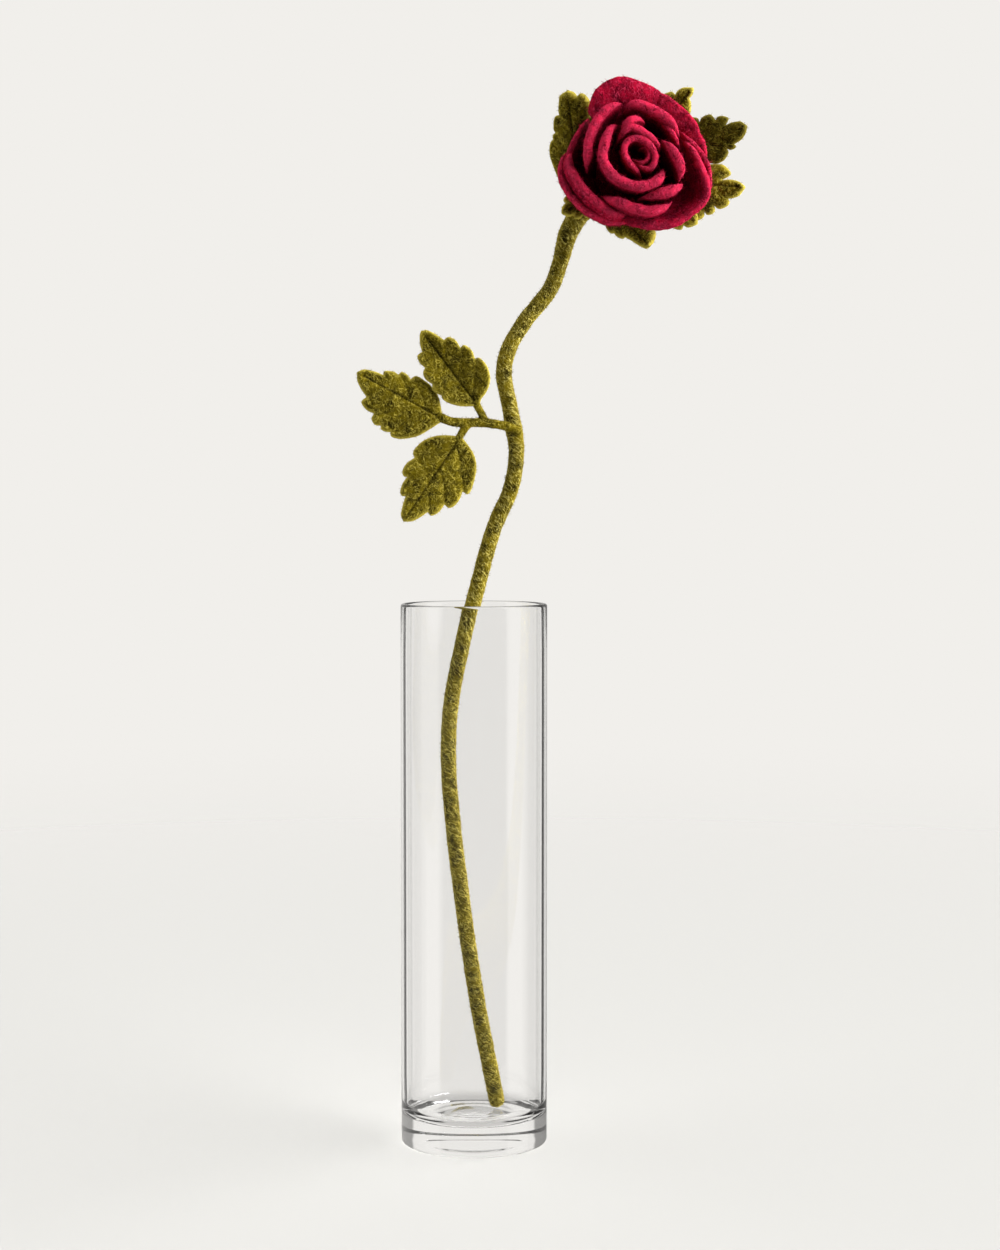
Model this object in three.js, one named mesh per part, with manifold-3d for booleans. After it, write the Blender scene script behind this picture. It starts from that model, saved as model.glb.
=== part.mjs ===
// A felted wool rose standing in a clear glass cylinder vase.
// Millimetres, +Z up. The origin is the centre of the vase's flat foot, and the bloom faces -Y.

import * as THREE from "three";
import { mergeVertices } from "three/addons/utils/BufferGeometryUtils.js";
import Module from "manifold-3d";

const wasm = await Module();
wasm.setup();

// ---- Driving dimensions ----

const FIT_GAP = 0.3; // left between pieces that touch
const CURVE_SAMPLES = 2000; // for measuring along a curve
const ROUNDING = 1e-3; // lengths and shares closer than this count as the same

const VASE = {
  height: 222,
  radius: 30,
  wall: 2.2,
  floor: 11,
  floorFillet: 6.8,
  footBevel: 2,
  sides: 48,
  steps: { foot: 3, lip: 6, fillet: 5 }, // of its rounded corners
};

const STEM = {
  radius: 3.3,
  neckRadius: 4.3,
  footLength: 2.5, // of the rounded end on the vase's floor
  footEnd: 0.5, // radius of that end's flat, over the stem's radius
  footRings: [0.15, 0.5, 1], // where the rounded end has rings, over its length
  neckLength: 26, // over which it swells towards the bloom
  sides: 10,
  step: 8, // between its rings
};

const WIRE = {
  radius: 0.8,
  footCover: 6, // wool under its lower end
  reach: 9, // past the top of the stem, into the calyx
  slack: 0.1, // more room round it, so that its corners clear the bore's flats
  endRoom: 1, // past each of its ends
  sides: 6,
};

// The stem's centreline: from the vase's floor up against the back of its rim, then over to the bloom.
const STEM_ROUTE = [
  [10, 7, 11.8],
  [6.5, 8.5, 29],
  [1.5, 10.5, 54],
  [-2.5, 12.5, 79],
  [-6, 14.5, 104],
  [-9, 16.5, 129],
  [-11, 18.5, 154],
  [-10, 20.5, 179],
  [-5, 22.2, 204],
  [1, 23.6, 227],
  [8, 25.5, 252],
  [15.5, 26, 270],
  [17.5, 26.5, 285],
  [15, 27, 302],
  [12.3, 27.5, 317],
  [14.3, 28, 327],
  [21.5, 29, 339.5],
  [31.5, 30, 352],
  [36, 30.5, 364],
  [39, 30, 375],
  [43.5, 28.5, 383],
];

const BLOOM = {
  centre: new THREE.Vector3(66, -14, 403), // where the rolled heart opens
  depth: 28, // from the heart's rim back to the calyx
  rootShift: [-2, -4], // the roots sit left of and below the heart, in X and Z
  coreRadius: 15,
  coreEdge: 3,
  coreHeight: 13,
  coreSteps: 5,
};

// What every petal has in common. Heights run along the bloom's axis, towards the viewer.
const PETAL = {
  rootSink: 2, // of the root in the core
  rootThickness: 1.7,
  rootSpread: 0.75, // how far out a petal has spread low down, from its root to its rim
  rootLift: 2.5, // the height at which it has spread so far
  bellyHeight: 0.45, // where it swells most, from the rim down to the root
  fullAt: 0.77, // where it reaches its full thickness, from the root up to the rim
  endTaper: 0.125, // share of the rim over which each end thins
  endThickness: 0.5, // of the ends, over the full thickness
  lift: [0, 0.35, 0.66, 0.88, 1], // rows of points from the root up to the rim
  crest: [50, 130], // degrees round the rounded rim, from the inner side over to the outer
};

// Petals from the heart out. A rim point is [degrees anticlockwise from +X, radius, height], seen from
// the front with the heart at the middle: the height is towards the viewer. `root` is the radius where
// the petal grows from the core, and `belly` is how far it swells outside its rim.
const PETALS = [
  {
    name: "heart",
    root: 2.6,
    belly: 0.2,
    thickness: 2.5,
    rim: [
      [-129, 3.3, -2], [-82, 5.1, -0.5], [-57, 7.5, 0.3], [-36, 7.6, 0.5], [-8, 6.7, 0.5], [25, 5.7, 0.5],
      [64, 5.4, 0.5], [106, 6, 0.5], [144, 6.1, 0.5], [178, 5.5, 0.5], [222, 5.1, 0.3], [256, 6.2, -0.3],
      [273, 7.8, -1.5], [281, 9.5, -4],
    ],
  },
  {
    name: "inner cap",
    root: 6,
    belly: 0.6,
    thickness: 2.8,
    rim: [
      [150, 9.6, -4], [138, 9.8, -1], [124, 10.2, 0.5], [107, 10.6, 1], [90, 9.2, 0.6], [67, 8.1, 0.2],
      [38, 8, -0.4], [18, 8.9, -1.5], [8, 9.4, -4],
    ],
  },
  {
    name: "cap fold",
    root: 6.5,
    belly: 0.6,
    thickness: 3.2,
    rim: [
      [130, 9.8, -3], [121, 10.8, 0.2], [111, 12.1, 1.5], [100, 13.2, 1.5], [90, 13.1, -0.5],
      [82, 12.6, -4],
    ],
  },
  {
    name: "inner cup",
    root: 7.5,
    belly: 1,
    thickness: 3,
    rim: [
      [124, 14.8, -4], [135, 14.8, 0], [149, 14.4, 1], [165, 14.2, 1.5], [180, 14.3, 1.5], [195, 14.3, 1.5],
      [211, 14, 1.5], [228, 13.7, 1.5], [246, 13.4, 1.8], [263, 13.4, 2], [278, 13.6, 2], [294, 13.6, 1.8],
      [308, 13.3, 1.2], [320, 12.5, 0], [332, 11.5, -3],
    ],
  },
  {
    name: "inner right",
    root: 8.5,
    belly: 1,
    thickness: 2.8,
    rim: [
      [33, 11.3, -5], [21, 11.8, -1], [7, 13.3, 0], [-5, 15.1, 0.5], [-14, 17, 0.5], [-22, 18.6, 0.3],
      [-28, 19.5, -0.5], [-33, 20, -4],
    ],
  },
  {
    name: "middle fold",
    root: 9.5,
    belly: 0.5,
    thickness: 2.2,
    rim: [
      [55, 15.4, -7], [46, 16, -4], [35, 16.1, -3.5], [25, 16.3, -3.5], [16, 16.9, -4.5], [9, 17.9, -8],
    ],
  },
  {
    name: "middle lower right",
    root: 9.5,
    belly: 1,
    thickness: 3.6,
    rim: [
      [-89, 17.6, -5], [-76, 17.6, -1.5], [-63, 18.2, -0.5], [-53, 19.3, -0.5], [-44, 20.5, -1],
      [-37, 21.5, -2], [-32, 21.8, -5],
    ],
  },
  {
    name: "middle left",
    root: 10,
    belly: 1.6,
    thickness: 3,
    rim: [
      [107, 21.8, -6], [115, 21.6, -3], [126, 21.4, -2], [136, 21, -1.5], [147, 20.6, -1], [159, 20.2, -1],
      [171, 20.1, -1], [182, 20.3, -1.5], [190, 20.7, -2], [197, 21.1, -6],
    ],
  },
  {
    name: "middle top",
    root: 10.5,
    belly: 1.2,
    thickness: 3.2,
    rim: [
      [108, 18.3, -7], [103, 19.3, -3.5], [95, 19.9, -3], [85, 19.4, -3], [74, 18.7, -3], [63, 18.3, -3],
      [53, 18.1, -3], [42, 18.1, -3], [32, 18.1, -3.5], [22, 18.7, -6],
    ],
  },
  {
    name: "middle lower",
    root: 11,
    belly: 2.5,
    thickness: 3.4,
    rim: [
      [-133, 21.7, -7], [-123, 21.3, -3.5], [-113, 20.8, -3], [-102, 21, -3], [-91, 21.8, -3],
      [-81, 22.8, -3], [-71, 23.5, -3], [-62, 23.7, -3.5], [-52, 23.2, -6],
    ],
  },
  {
    name: "outer right",
    root: 12,
    belly: 1.5,
    thickness: 2.6,
    rim: [
      [23, 19.1, -9], [12, 20.3, -5], [2, 22.2, -4.5], [-6, 24.5, -4.5], [-14, 27, -5], [-20, 29.5, -5.5],
      [-26, 31.7, -6], [-32, 32.6, -6.5], [-39, 32.6, -7], [-46, 32.1, -7.5], [-54, 31.7, -8],
      [-61, 31.6, -8], [-68, 30.7, -8.5], [-74, 29.2, -9], [-78, 26.5, -12],
    ],
  },
  {
    name: "right wrap",
    root: 12.5,
    belly: 1,
    thickness: 2,
    rim: [
      [33, 19.7, -10], [23, 20.4, -6.5], [13, 22.3, -6.5], [5, 24.6, -7], [-2, 26.8, -7], [-9, 28.8, -7.5],
      [-17, 30.7, -8], [-23, 32.2, -9], [-29, 32.9, -12],
    ],
  },
  {
    name: "outer lower left",
    root: 12.5,
    belly: 6.5,
    thickness: 3,
    rim: [
      [181, 27.6, -11], [190, 27, -7], [199, 26.3, -6], [210, 25.7, -5.5], [220, 25, -5.5],
      [230, 24.6, -5.5], [240, 24.7, -6.5], [248, 24.9, -9], [258, 24.7, -12], [268, 24.4, -13],
      [279, 23.6, -15],
    ],
  },
  {
    name: "back top",
    root: 13,
    belly: 1,
    thickness: 2.8,
    rim: [
      [136, 26.8, -17], [130, 28.5, -13], [123, 30.2, -12], [116, 31.2, -11.5], [110, 31.4, -11],
      [104, 31.3, -11], [98, 30.8, -11], [91, 29.5, -11], [84, 28.1, -11.5], [76, 26.8, -13],
      [67, 25.3, -15],
    ],
  },
  {
    name: "back right",
    root: 13.5,
    belly: 1,
    thickness: 2.6,
    rim: [
      [75, 25.3, -17], [67, 25.9, -14], [60, 25.9, -12], [51, 25.7, -11.5], [43, 25.9, -11],
      [35, 26.1, -11], [27, 26.2, -11], [20, 26, -11], [13, 26.7, -11], [6, 27.3, -11.5], [-1, 27.7, -12],
      [-9, 28.8, -15],
    ],
  },
  {
    name: "back left",
    root: 13.5,
    belly: 1,
    thickness: 2.6,
    rim: [
      [140, 26, -20], [151, 25.8, -19], [161, 25.7, -18], [170, 25.8, -17], [179, 26, -16],
      [186, 26.3, -16],
    ],
  },
];

const CALYX = {
  sides: 18,
  step: 3,
  collarRadius: 13.5, // of the disc that the bloom and the sepals are felted to
  collarEdge: 1.5,
  collarDepth: 6.5,
  domeSteps: 4,
};

// The calyx goes on from the stem and swells to the back of the bloom: [x, y, z, radius].
const CALYX_ROUTE = [
  [43.5, 28.5, 383, 4.6],
  [46.5, 27.3, 386.8, 5.2],
  [50.5, 25.3, 391, 6.4],
  [55.5, 22.6, 395.2, 8],
  [60, 19.6, 397.8, 9.6],
  [62.5, 17.5, 398.6, 10.4],
];

const BLADE = {
  thickness: 2.6,
  edgeThickness: 0.9,
  rows: 20, // of points along each edge: a multiple of how many lobes it has
  section: [1, 0.7], // of each half's width, where its cross-section has points
};

// A blade's scalloped edge is a list of lobes, from its base to its tip. Each lobe is the points that its
// curve runs through, as [along the midrib, out from it], and ends in the notch where the next one begins.
const PLAIN_SEPAL_EDGE = [
  [[0.5, 2.5], [5, 6], [9, 7.3], [11, 6]],
  [[14, 7.8], [18, 7.6], [19.2, 5.7]],
  [[21.5, 6.6], [24, 5.4], [23.8, 3.6]],
  [[26, 3.2], [28, 0.8]],
];

const SHORT_SEPAL_EDGE = [
  [[0.5, 2.5], [5, 5.8], [9, 6.4], [10.5, 5]],
  [[12.5, 6.6], [16, 6.6], [17, 5]],
  [[18.5, 5.6], [20.8, 4.6], [20.8, 3]],
  [[23, 2.4], [24.5, 0.8]],
];

// Each blade has a base and a tip, the way its face looks, and `fold`: how far its two halves fall back
// from the midrib, over their width. Less than 0, they stand forward of it.
const SEPALS = [
  {
    name: "left",
    base: [46, 24, 385],
    tip: [38.4, 9, 431.2],
    face: [-0.45, -0.9, 0],
    fold: 0.25,
    left: [
      [[0.5, 2.5], [6, 7.5], [13, 11.2], [18.5, 13], [22.3, 13.8], [25.3, 13.6], [28, 12.6], [29.3, 11]],
      [[30.4, 11], [31.4, 10.5], [32, 9.4]],
      [[33.5, 9.9], [36.4, 9.4], [38.8, 8.1], [39.3, 6]],
      [[41.1, 6.1], [44.6, 5.3], [47.3, 4.2], [49, 0.8]],
    ],
    right: [
      [[0.5, 2.5], [6, 7], [12, 10], [18, 11], [23, 10.5], [25, 8.5]],
      [[28.5, 10.5], [33, 10.8], [36.8, 9.3], [37.5, 7.2]],
      [[40, 8.2], [43.5, 8.2], [46.3, 6.9], [47.5, 5], [46.3, 3.3]],
      [[47.3, 3], [48.5, 2], [49, 0.8]],
    ],
  },
  {
    name: "top right",
    base: [68, 17.5, 406],
    tip: [89.4, 8, 432.1],
    face: [0, -1, 0.2],
    fold: 0.2,
    left: [
      [[0.5, 2.5], [5, 6.5], [9, 8.3], [11.5, 7]],
      [[14.5, 9.5], [19, 9.5], [21.5, 7.3]],
      [[23.7, 8.2], [26.2, 7.7], [28.2, 6.2], [28.4, 4.2]],
      [[30, 4.4], [32.5, 3.5], [34.8, 0.8]],
    ],
    right: [
      [[0.5, 2.5], [5, 6.5], [9, 8.3], [11.5, 7]],
      [[14.5, 9.2], [19, 8.8], [22, 6.5], [23, 4.5]],
      [[25, 5.6], [26.8, 5.4], [28.6, 4.3], [30.2, 2.8], [31, 1.5]],
      [[32.8, 1.6], [34.8, 0.8]],
    ],
  },
  {
    name: "right",
    base: [72, 17.5, 402],
    tip: [111.7, 9, 416.8],
    face: [0, -1, 0],
    fold: 0.15,
    left: [
      [[0.5, 2.5], [9, 7.5], [17, 11], [22.5, 12], [25.3, 10.8], [25.6, 9]],
      [[26.8, 10.2], [28.8, 10.6], [31, 10], [32, 7.3]],
      [[33.3, 8.2], [35.5, 7.6], [37.2, 5.8], [35.3, 3.8]],
      [[38, 3.8], [41.3, 2.9], [42.9, 0.8]],
    ],
    right: [
      [[0.5, 2.5], [8, 7], [15, 9.5], [20, 9.5], [22.5, 7.2]],
      [[24.3, 8.6], [26.8, 9.6], [29.8, 9.2], [32.3, 7.3], [32.5, 5.6]],
      [[33.6, 6.4], [35.2, 6.5], [36.2, 5.8], [35.8, 4.8]],
      [[39, 4.2], [41.5, 2.6], [42.9, 0.8]],
    ],
  },
  {
    name: "lower right",
    base: [72, 17.5, 396],
    tip: [111, 9, 391.9],
    face: [0, -1, 0],
    fold: 0.15,
    left: [
      [[0.5, 2.5], [5, 6.3], [9.5, 8], [12, 6.8]],
      [[16, 9.3], [20.5, 9.2], [22.5, 7.5]],
      [[24.8, 8.6], [29.2, 8.9], [31.9, 7.5], [33.6, 5], [30.3, 2.4]],
      [[33.5, 2.9], [37.1, 2.4], [39.8, 0.8]],
    ],
    right: [
      [[0.5, 2.5], [8, 8.5], [14, 12.5], [18, 13.7], [19.5, 12.7]],
      [[21, 14.5], [22.8, 14.2], [24.3, 12.7], [24.3, 10.8]],
      [[25.5, 12.1], [27.7, 11.5], [28.6, 9.9], [28.2, 8.2]],
      [[29.5, 9.2], [31.2, 9.2], [33.4, 8], [34.3, 6.5], [33.7, 5]],
      [[35.5, 4.6], [38, 3.4], [39.8, 0.8]],
    ],
  },
  {
    name: "under right",
    base: [69, 17.5, 393],
    tip: [91.5, 11, 377.5],
    face: [0, -1, 0],
    fold: 0.15,
    left: PLAIN_SEPAL_EDGE,
    right: PLAIN_SEPAL_EDGE,
  },
  {
    name: "under",
    base: [54, 21, 388],
    tip: [72.1, 7, 367.9],
    face: [0.35, -1, -0.5],
    fold: 0.5,
    left: [
      [[0.5, 3], [3, 5], [6, 5.8], [7.5, 4.8]],
      [[10, 6.5], [13, 6.5], [14.3, 5]],
      [[16.5, 6.4], [18.7, 6], [19.5, 4.6]],
      [[22, 6], [25, 6], [27.6, 4.7], [29.7, 2.2], [30.2, 0.8]],
    ],
    right: [
      [[0.5, 3.5], [2, 6], [4, 6.8], [5.5, 6]],
      [[8, 7.6], [10.8, 7.7], [12.3, 6.6]],
      [[13.5, 6.9], [15.5, 6.6], [17.2, 5.8], [17.8, 4.7]],
      [[22, 3.7], [26.2, 3], [29.3, 2], [30.2, 0.8]],
    ],
  },
  {
    name: "lower left",
    base: [56, 21, 394],
    tip: [37.3, 13, 382.5],
    face: [-0.2, -1, -0.1],
    fold: 0.1,
    left: SHORT_SEPAL_EDGE,
    right: SHORT_SEPAL_EDGE,
  },
];

// The leaf's three leaflets.
const LEAFLETS = [
  {
    name: "end",
    base: [-13.7, 16, 298],
    tip: [-47.8, 9, 316.5],
    face: [0, -1, 0.1],
    fold: 0.12,
    left: [
      [[-0.5, 1.8], [2, 6.3], [5, 11], [9.5, 14.7], [12.5, 16.1], [14.7, 16.3], [15.8, 15]],
      [[18, 15.8], [19.8, 15.7], [20.5, 14.5]],
      [[23, 15.3], [25.3, 13.9], [25.5, 11.5]],
      [[29, 11.6], [32.3, 9.8], [31.5, 6.9]],
      [[35, 5.2], [38, 2.9], [39.3, 0.8]],
    ],
    right: [
      [[0.5, 1.9], [2.7, 4.9], [5.7, 8], [9.7, 9.9], [13, 10.6], [17.2, 10.6], [18.7, 8.3]],
      [[20.8, 9.3], [23.3, 9.2], [24, 7.4]],
      [[26, 7.7], [28.3, 6.9], [29.9, 5.8], [29.6, 4.4]],
      [[33.6, 3.8], [37.5, 2.6], [39.3, 0.8]],
    ],
  },
  {
    name: "upper",
    base: [1.2, 18.5, 303.7],
    tip: [-21.6, 13, 333.7],
    face: [0, -1, 0],
    fold: -0.35,
    left: [
      [[0.4, 1.4], [1.5, 3], [4, 6], [7.5, 8.7], [10.6, 10], [12.4, 9.5]],
      [[14.5, 10.7], [16.8, 10.7], [18.5, 9.7]],
      [[21.7, 10.7], [24.4, 9.9], [25.5, 8]],
      [[28.7, 8.5], [31.3, 7.5], [31.4, 4.9]],
      [[34.1, 3.9], [37, 1.9], [37.9, 0.8]],
    ],
    right: [
      [[-0.4, 1.2], [0.9, 2.8], [2, 6.1], [4.2, 9.4], [7.1, 11.6], [11.3, 12.9], [15.2, 12.4], [16.1, 10.7]],
      [[19.8, 11.7], [23.2, 10.6], [23.3, 8.6]],
      [[26.9, 8.9], [29.7, 7.4], [29.8, 5.2]],
      [[33.9, 3.8], [37.1, 2.1], [37.9, 0.8]],
    ],
  },
  {
    name: "lower",
    base: [-5.9, 17, 290.2],
    tip: [-28.9, 10, 255.7],
    face: [0, -1, -0.1],
    fold: 0.15,
    left: [
      [
        [-0.3, 1.4], [1.2, 6.3], [3.1, 9.8], [6.2, 12.7], [10.9, 14.9], [15.1, 16.1], [17.6, 15.9],
        [17.9, 13.5],
      ],
      [[21.4, 14.3], [25, 13.9], [26.9, 12.5], [26.8, 10.3]],
      [[30.7, 10], [33.7, 8.4], [33.5, 6.1]],
      [[37, 4.8], [40.1, 3.1], [42, 0.8]],
    ],
    right: [
      [[0, 0.9], [2.9, 6], [6, 9.5], [9.9, 11.9], [14.2, 12.8], [16.4, 12.4], [17.5, 10.9]],
      [[21.5, 12.3], [24.9, 12], [26.5, 10.4], [26.1, 9]],
      [[29.6, 9], [32.9, 7.9], [33.8, 6.4], [33.1, 5.1]],
      [[36.6, 4.1], [40.6, 2.5], [42, 0.8]],
    ],
  },
];

const LEAF_STALK = {
  radius: 1.7,
  twigRadius: 1.5,
  sides: 8,
  step: 5,
  main: [
    [19.5, 25, 291.5], [16.5, 23.2, 293.6], [10.5, 21.5, 295.5], [2.5, 19.5, 296.3], [-5, 18, 296.3],
    [-10, 17, 296.8], [-16, 15.6, 299.5],
  ],
  up: [[5, 20, 296.3], [3, 19.3, 300], [0, 18, 305.5]],
  down: [[-2, 18.5, 296], [-4.5, 17.8, 293], [-7.5, 16.4, 288]],
};

const COLOURS = {
  crimson: 0xb0183f,
  olive: 0x7d7021,
  oliveDark: 0x6b601c,
  glass: 0xf2f5f4,
  steel: 0x9a9c9e,
};

// ---- Shape helpers ----

const vector = (point) => new THREE.Vector3(point[0], point[1], point[2]);

function curveThrough(points) {
  const curve = new THREE.CatmullRomCurve3(points.map(vector), false, "centripetal");
  curve.arcLengthDivisions = CURVE_SAMPLES;
  return curve;
}

/** Six times the volume inside a triangle mesh: its sign says whether the faces look out. */
function signedVolume(geometry) {
  const position = geometry.getAttribute("position");
  const index = geometry.getIndex();
  const corners = [0, 1, 2].map(() => new THREE.Vector3());
  let volume = 0;
  for (let i = 0; i < index.count; i += 3) {
    corners.forEach((corner, k) => corner.fromBufferAttribute(position, index.getX(i + k)));
    volume += corners[0].dot(corners[1].cross(corners[2]));
  }
  return volume;
}

/** The closed solid inside a geometry, whichever way its faces look. */
function solidOf(geometry) {
  geometry.deleteAttribute("normal");
  geometry.deleteAttribute("uv");
  const merged = mergeVertices(geometry, ROUNDING);
  const triangles = Array.from(merged.getIndex().array);
  if (signedVolume(merged) < 0) {
    triangles.reverse();
  }
  const whole = [];
  for (let i = 0; i < triangles.length; i += 3) {
    const [a, b, c] = triangles.slice(i, i + 3);
    if (a !== b && b !== c && c !== a) {
      whole.push(a, b, c);
    }
  }
  return new wasm.Manifold(
    new wasm.Mesh({
      numProp: 3,
      vertProperties: new Float32Array(merged.getAttribute("position").array),
      triVerts: new Uint32Array(whole),
    }),
  );
}

/** The largest body of a solid. A hollow sealed inside it counts as a body, so it comes out filled. */
function largestBody(solid) {
  const bodies = solid.decompose();
  return bodies.reduce((best, body) => (body.volume() > best.volume() ? body : best));
}

function meshOf(name, solid, material) {
  const result = solid.getMesh();
  const geometry = new THREE.BufferGeometry();
  const positions = new Float32Array(result.vertProperties);
  geometry.setAttribute("position", new THREE.BufferAttribute(positions, 3));
  geometry.setIndex(Array.from(result.triVerts));
  geometry.computeVertexNormals();
  const mesh = new THREE.Mesh(geometry, material);
  mesh.name = name;
  return mesh;
}

/** A closed skin over rings of points. The two end rings are closed from their first and last points in. */
function skinRings(rings) {
  const count = rings[0].length;
  const index = [];
  for (let r = 0; r + 1 < rings.length; r += 1) {
    for (let k = 0; k < count; k += 1) {
      const a = r * count + k;
      const b = r * count + ((k + 1) % count);
      index.push(a, b, b + count, a, b + count, a + count);
    }
  }
  const last = (rings.length - 1) * count;
  for (let k = 0; k < count / 2 - 1; k += 1) {
    const [a, b, c, d] = [k, k + 1, count - 2 - k, count - 1 - k];
    index.push(a, c, b, a, d, c);
    index.push(last + a, last + b, last + c, last + a, last + c, last + d);
  }
  const geometry = new THREE.BufferGeometry();
  const values = new Float32Array(rings.flat().flatMap((point) => point.toArray()));
  geometry.setAttribute("position", new THREE.BufferAttribute(values, 3));
  geometry.setIndex(index);
  return geometry;
}

/** Distances from one to another, at most `step` apart, with any others given between them. */
function stations(from, to, step, others = []) {
  const count = Math.ceil((to - from) / step);
  const even = Array.from({ length: count + 1 }, (_, i) => from + ((to - from) * i) / count);
  return [...even, ...others].sort((a, b) => a - b);
}

/** A round bar along a curve, with a ring at each of the distances given. No curve here runs along Y. */
function barAlong(curve, distances, radiusAt, sides) {
  const length = curve.getLength();
  const rings = distances.map((distance) => {
    const share = Math.min(1, distance / length);
    const centre = curve.getPointAt(share);
    const tangent = curve.getTangentAt(share);
    const aside = tangent.clone().cross(new THREE.Vector3(0, 1, 0)).normalize();
    const above = tangent.clone().cross(aside);
    return Array.from({ length: sides }, (_, k) => {
      const angle = (2 * Math.PI * k) / sides;
      return centre
        .clone()
        .addScaledVector(aside, radiusAt(distance) * Math.cos(angle))
        .addScaledVector(above, radiusAt(distance) * Math.sin(angle));
    });
  });
  return solidOf(skinRings(rings));
}

/** How far along a curve one of its points lies. */
function distanceTo(curve, pointIndex) {
  const step = pointIndex / (curve.points.length - 1) / CURVE_SAMPLES;
  let distance = 0;
  for (let i = 0; i < CURVE_SAMPLES; i += 1) {
    distance += curve.getPoint(step * i).distanceTo(curve.getPoint(step * (i + 1)));
  }
  return distance;
}

/** A solid turned about the vertical axis through the origin. */
function turned(profile, sides) {
  const points = profile.map(([radius, height]) => new THREE.Vector2(radius, height));
  return new THREE.LatheGeometry(points, sides).rotateX(Math.PI / 2);
}

function arc(centre, radius, fromDegrees, toDegrees, steps) {
  const points = [];
  for (let i = 0; i <= steps; i += 1) {
    const angle = THREE.MathUtils.degToRad(fromDegrees + ((toDegrees - fromDegrees) * i) / steps);
    points.push([centre[0] + radius * Math.cos(angle), centre[1] + radius * Math.sin(angle)]);
  }
  return points;
}

// ---- Glass vase ----

function glassVase() {
  const { height, radius, wall, floor, floorFillet, footBevel, steps } = VASE;
  const inside = radius - wall;
  const lip = wall / 2;
  const profile = [
    [0, 0],
    ...arc([radius - footBevel, footBevel], footBevel, -90, 0, steps.foot),
    ...arc([radius - lip, height - lip], lip, 0, 180, steps.lip),
    ...arc([inside - floorFillet, floor + floorFillet], floorFillet, 0, -90, steps.fillet),
    [0, floor],
  ];
  return solidOf(turned(profile, VASE.sides));
}

// ---- Stem and its wire ----

// One line runs through the stem and the calyx, and the wire follows it.
const spine = curveThrough([...STEM_ROUTE, ...CALYX_ROUTE.slice(1)]);
const stemTop = distanceTo(spine, STEM_ROUTE.length - 1);

function stemRadius(distance) {
  const rounding = Math.max(0, 1 - distance / STEM.footLength);
  const foot = Math.sqrt(1 - (1 - STEM.footEnd ** 2) * rounding ** 2);
  const swell = THREE.MathUtils.smoothstep(distance, stemTop - STEM.neckLength, stemTop);
  return THREE.MathUtils.lerp(STEM.radius, STEM.neckRadius, swell) * foot;
}

function wireBar(radius, from, to) {
  return barAlong(spine, stations(from, to, STEM.step), () => radius, WIRE.sides);
}

/** The room round the wire, from just under its lower end. */
function wireRoom() {
  const { radius, footCover, reach, slack, endRoom } = WIRE;
  return wireBar(radius + FIT_GAP + slack, footCover - endRoom, stemTop + reach + endRoom);
}

/** The room that the stem takes up to its top, with the gap round it. */
function stemRoom(from) {
  const distances = stations(from, stemTop + FIT_GAP, STEM.step);
  return barAlong(spine, distances, (distance) => stemRadius(distance) + FIT_GAP, STEM.sides);
}

function woolStem() {
  const footRings = STEM.footRings.map((share) => share * STEM.footLength);
  const distances = stations(0, stemTop, STEM.step, footRings);
  return barAlong(spine, distances, stemRadius, STEM.sides).subtract(wireRoom());
}

// ---- Blades: sepals and leaflets ----

/** Points along a scalloped edge, one of them at each notch. */
function scallopedEdge(lobes) {
  const curves = lobes.map((lobe, i) => {
    const points = i === 0 ? lobe : [lobes[i - 1].at(-1), ...lobe];
    return new THREE.SplineCurve(points.map(([x, y]) => new THREE.Vector2(x, y)));
  });
  return Array.from({ length: BLADE.rows + 1 }, (_, row) => {
    const place = (row * lobes.length) / BLADE.rows;
    const lobe = Math.min(Math.floor(place), lobes.length - 1);
    return curves[lobe].getPoint(place - lobe);
  });
}

/** A thick blade from its base to its tip, `fold` of each half's width folded back from the midrib. */
function blade({ base, tip, face, fold, left, right }) {
  const start = vector(base);
  const along = vector(tip).sub(start);
  const length = along.length();
  along.normalize();
  const out = vector(face).addScaledVector(along, -vector(face).dot(along)).normalize();
  const across = out.clone().cross(along);
  const edges = { left: scallopedEdge(left), right: scallopedEdge(right) };
  const rings = edges.left.map((leftPoint, row) => {
    const midrib = (length * row) / (edges.left.length - 1);
    const section = [
      ...BLADE.section.map((q) => [leftPoint, q, 1]),
      [leftPoint, 0, 1],
      ...BLADE.section.toReversed().map((q) => [edges.right[row], q, -1]),
    ];
    const surface = (side) =>
      section.map(([edge, q, hand]) => {
        const forward = midrib + (edge.x - midrib) * q;
        const width = edge.y * q;
        const half = (q === 1 ? BLADE.edgeThickness : BLADE.thickness) / 2;
        const height = -fold * width + side * half;
        return start
          .clone()
          .addScaledVector(along, forward)
          .addScaledVector(across, hand * width)
          .addScaledVector(out, height);
      });
    return [...surface(1), ...surface(-1).reverse()];
  });
  return solidOf(skinRings(rings));
}

function leafSpray() {
  const stalk = (points, radius) => {
    const curve = curveThrough(points);
    return barAlong(curve, stations(0, curve.getLength(), LEAF_STALK.step), () => radius, LEAF_STALK.sides);
  };
  const stalks = stalk(LEAF_STALK.main, LEAF_STALK.radius)
    .add(stalk(LEAF_STALK.up, LEAF_STALK.twigRadius))
    .add(stalk(LEAF_STALK.down, LEAF_STALK.twigRadius));
  return LEAFLETS.reduce((spray, leaflet) => spray.add(blade(leaflet)), stalks).subtract(stemRoom(0));
}

// ---- Calyx ----

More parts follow.
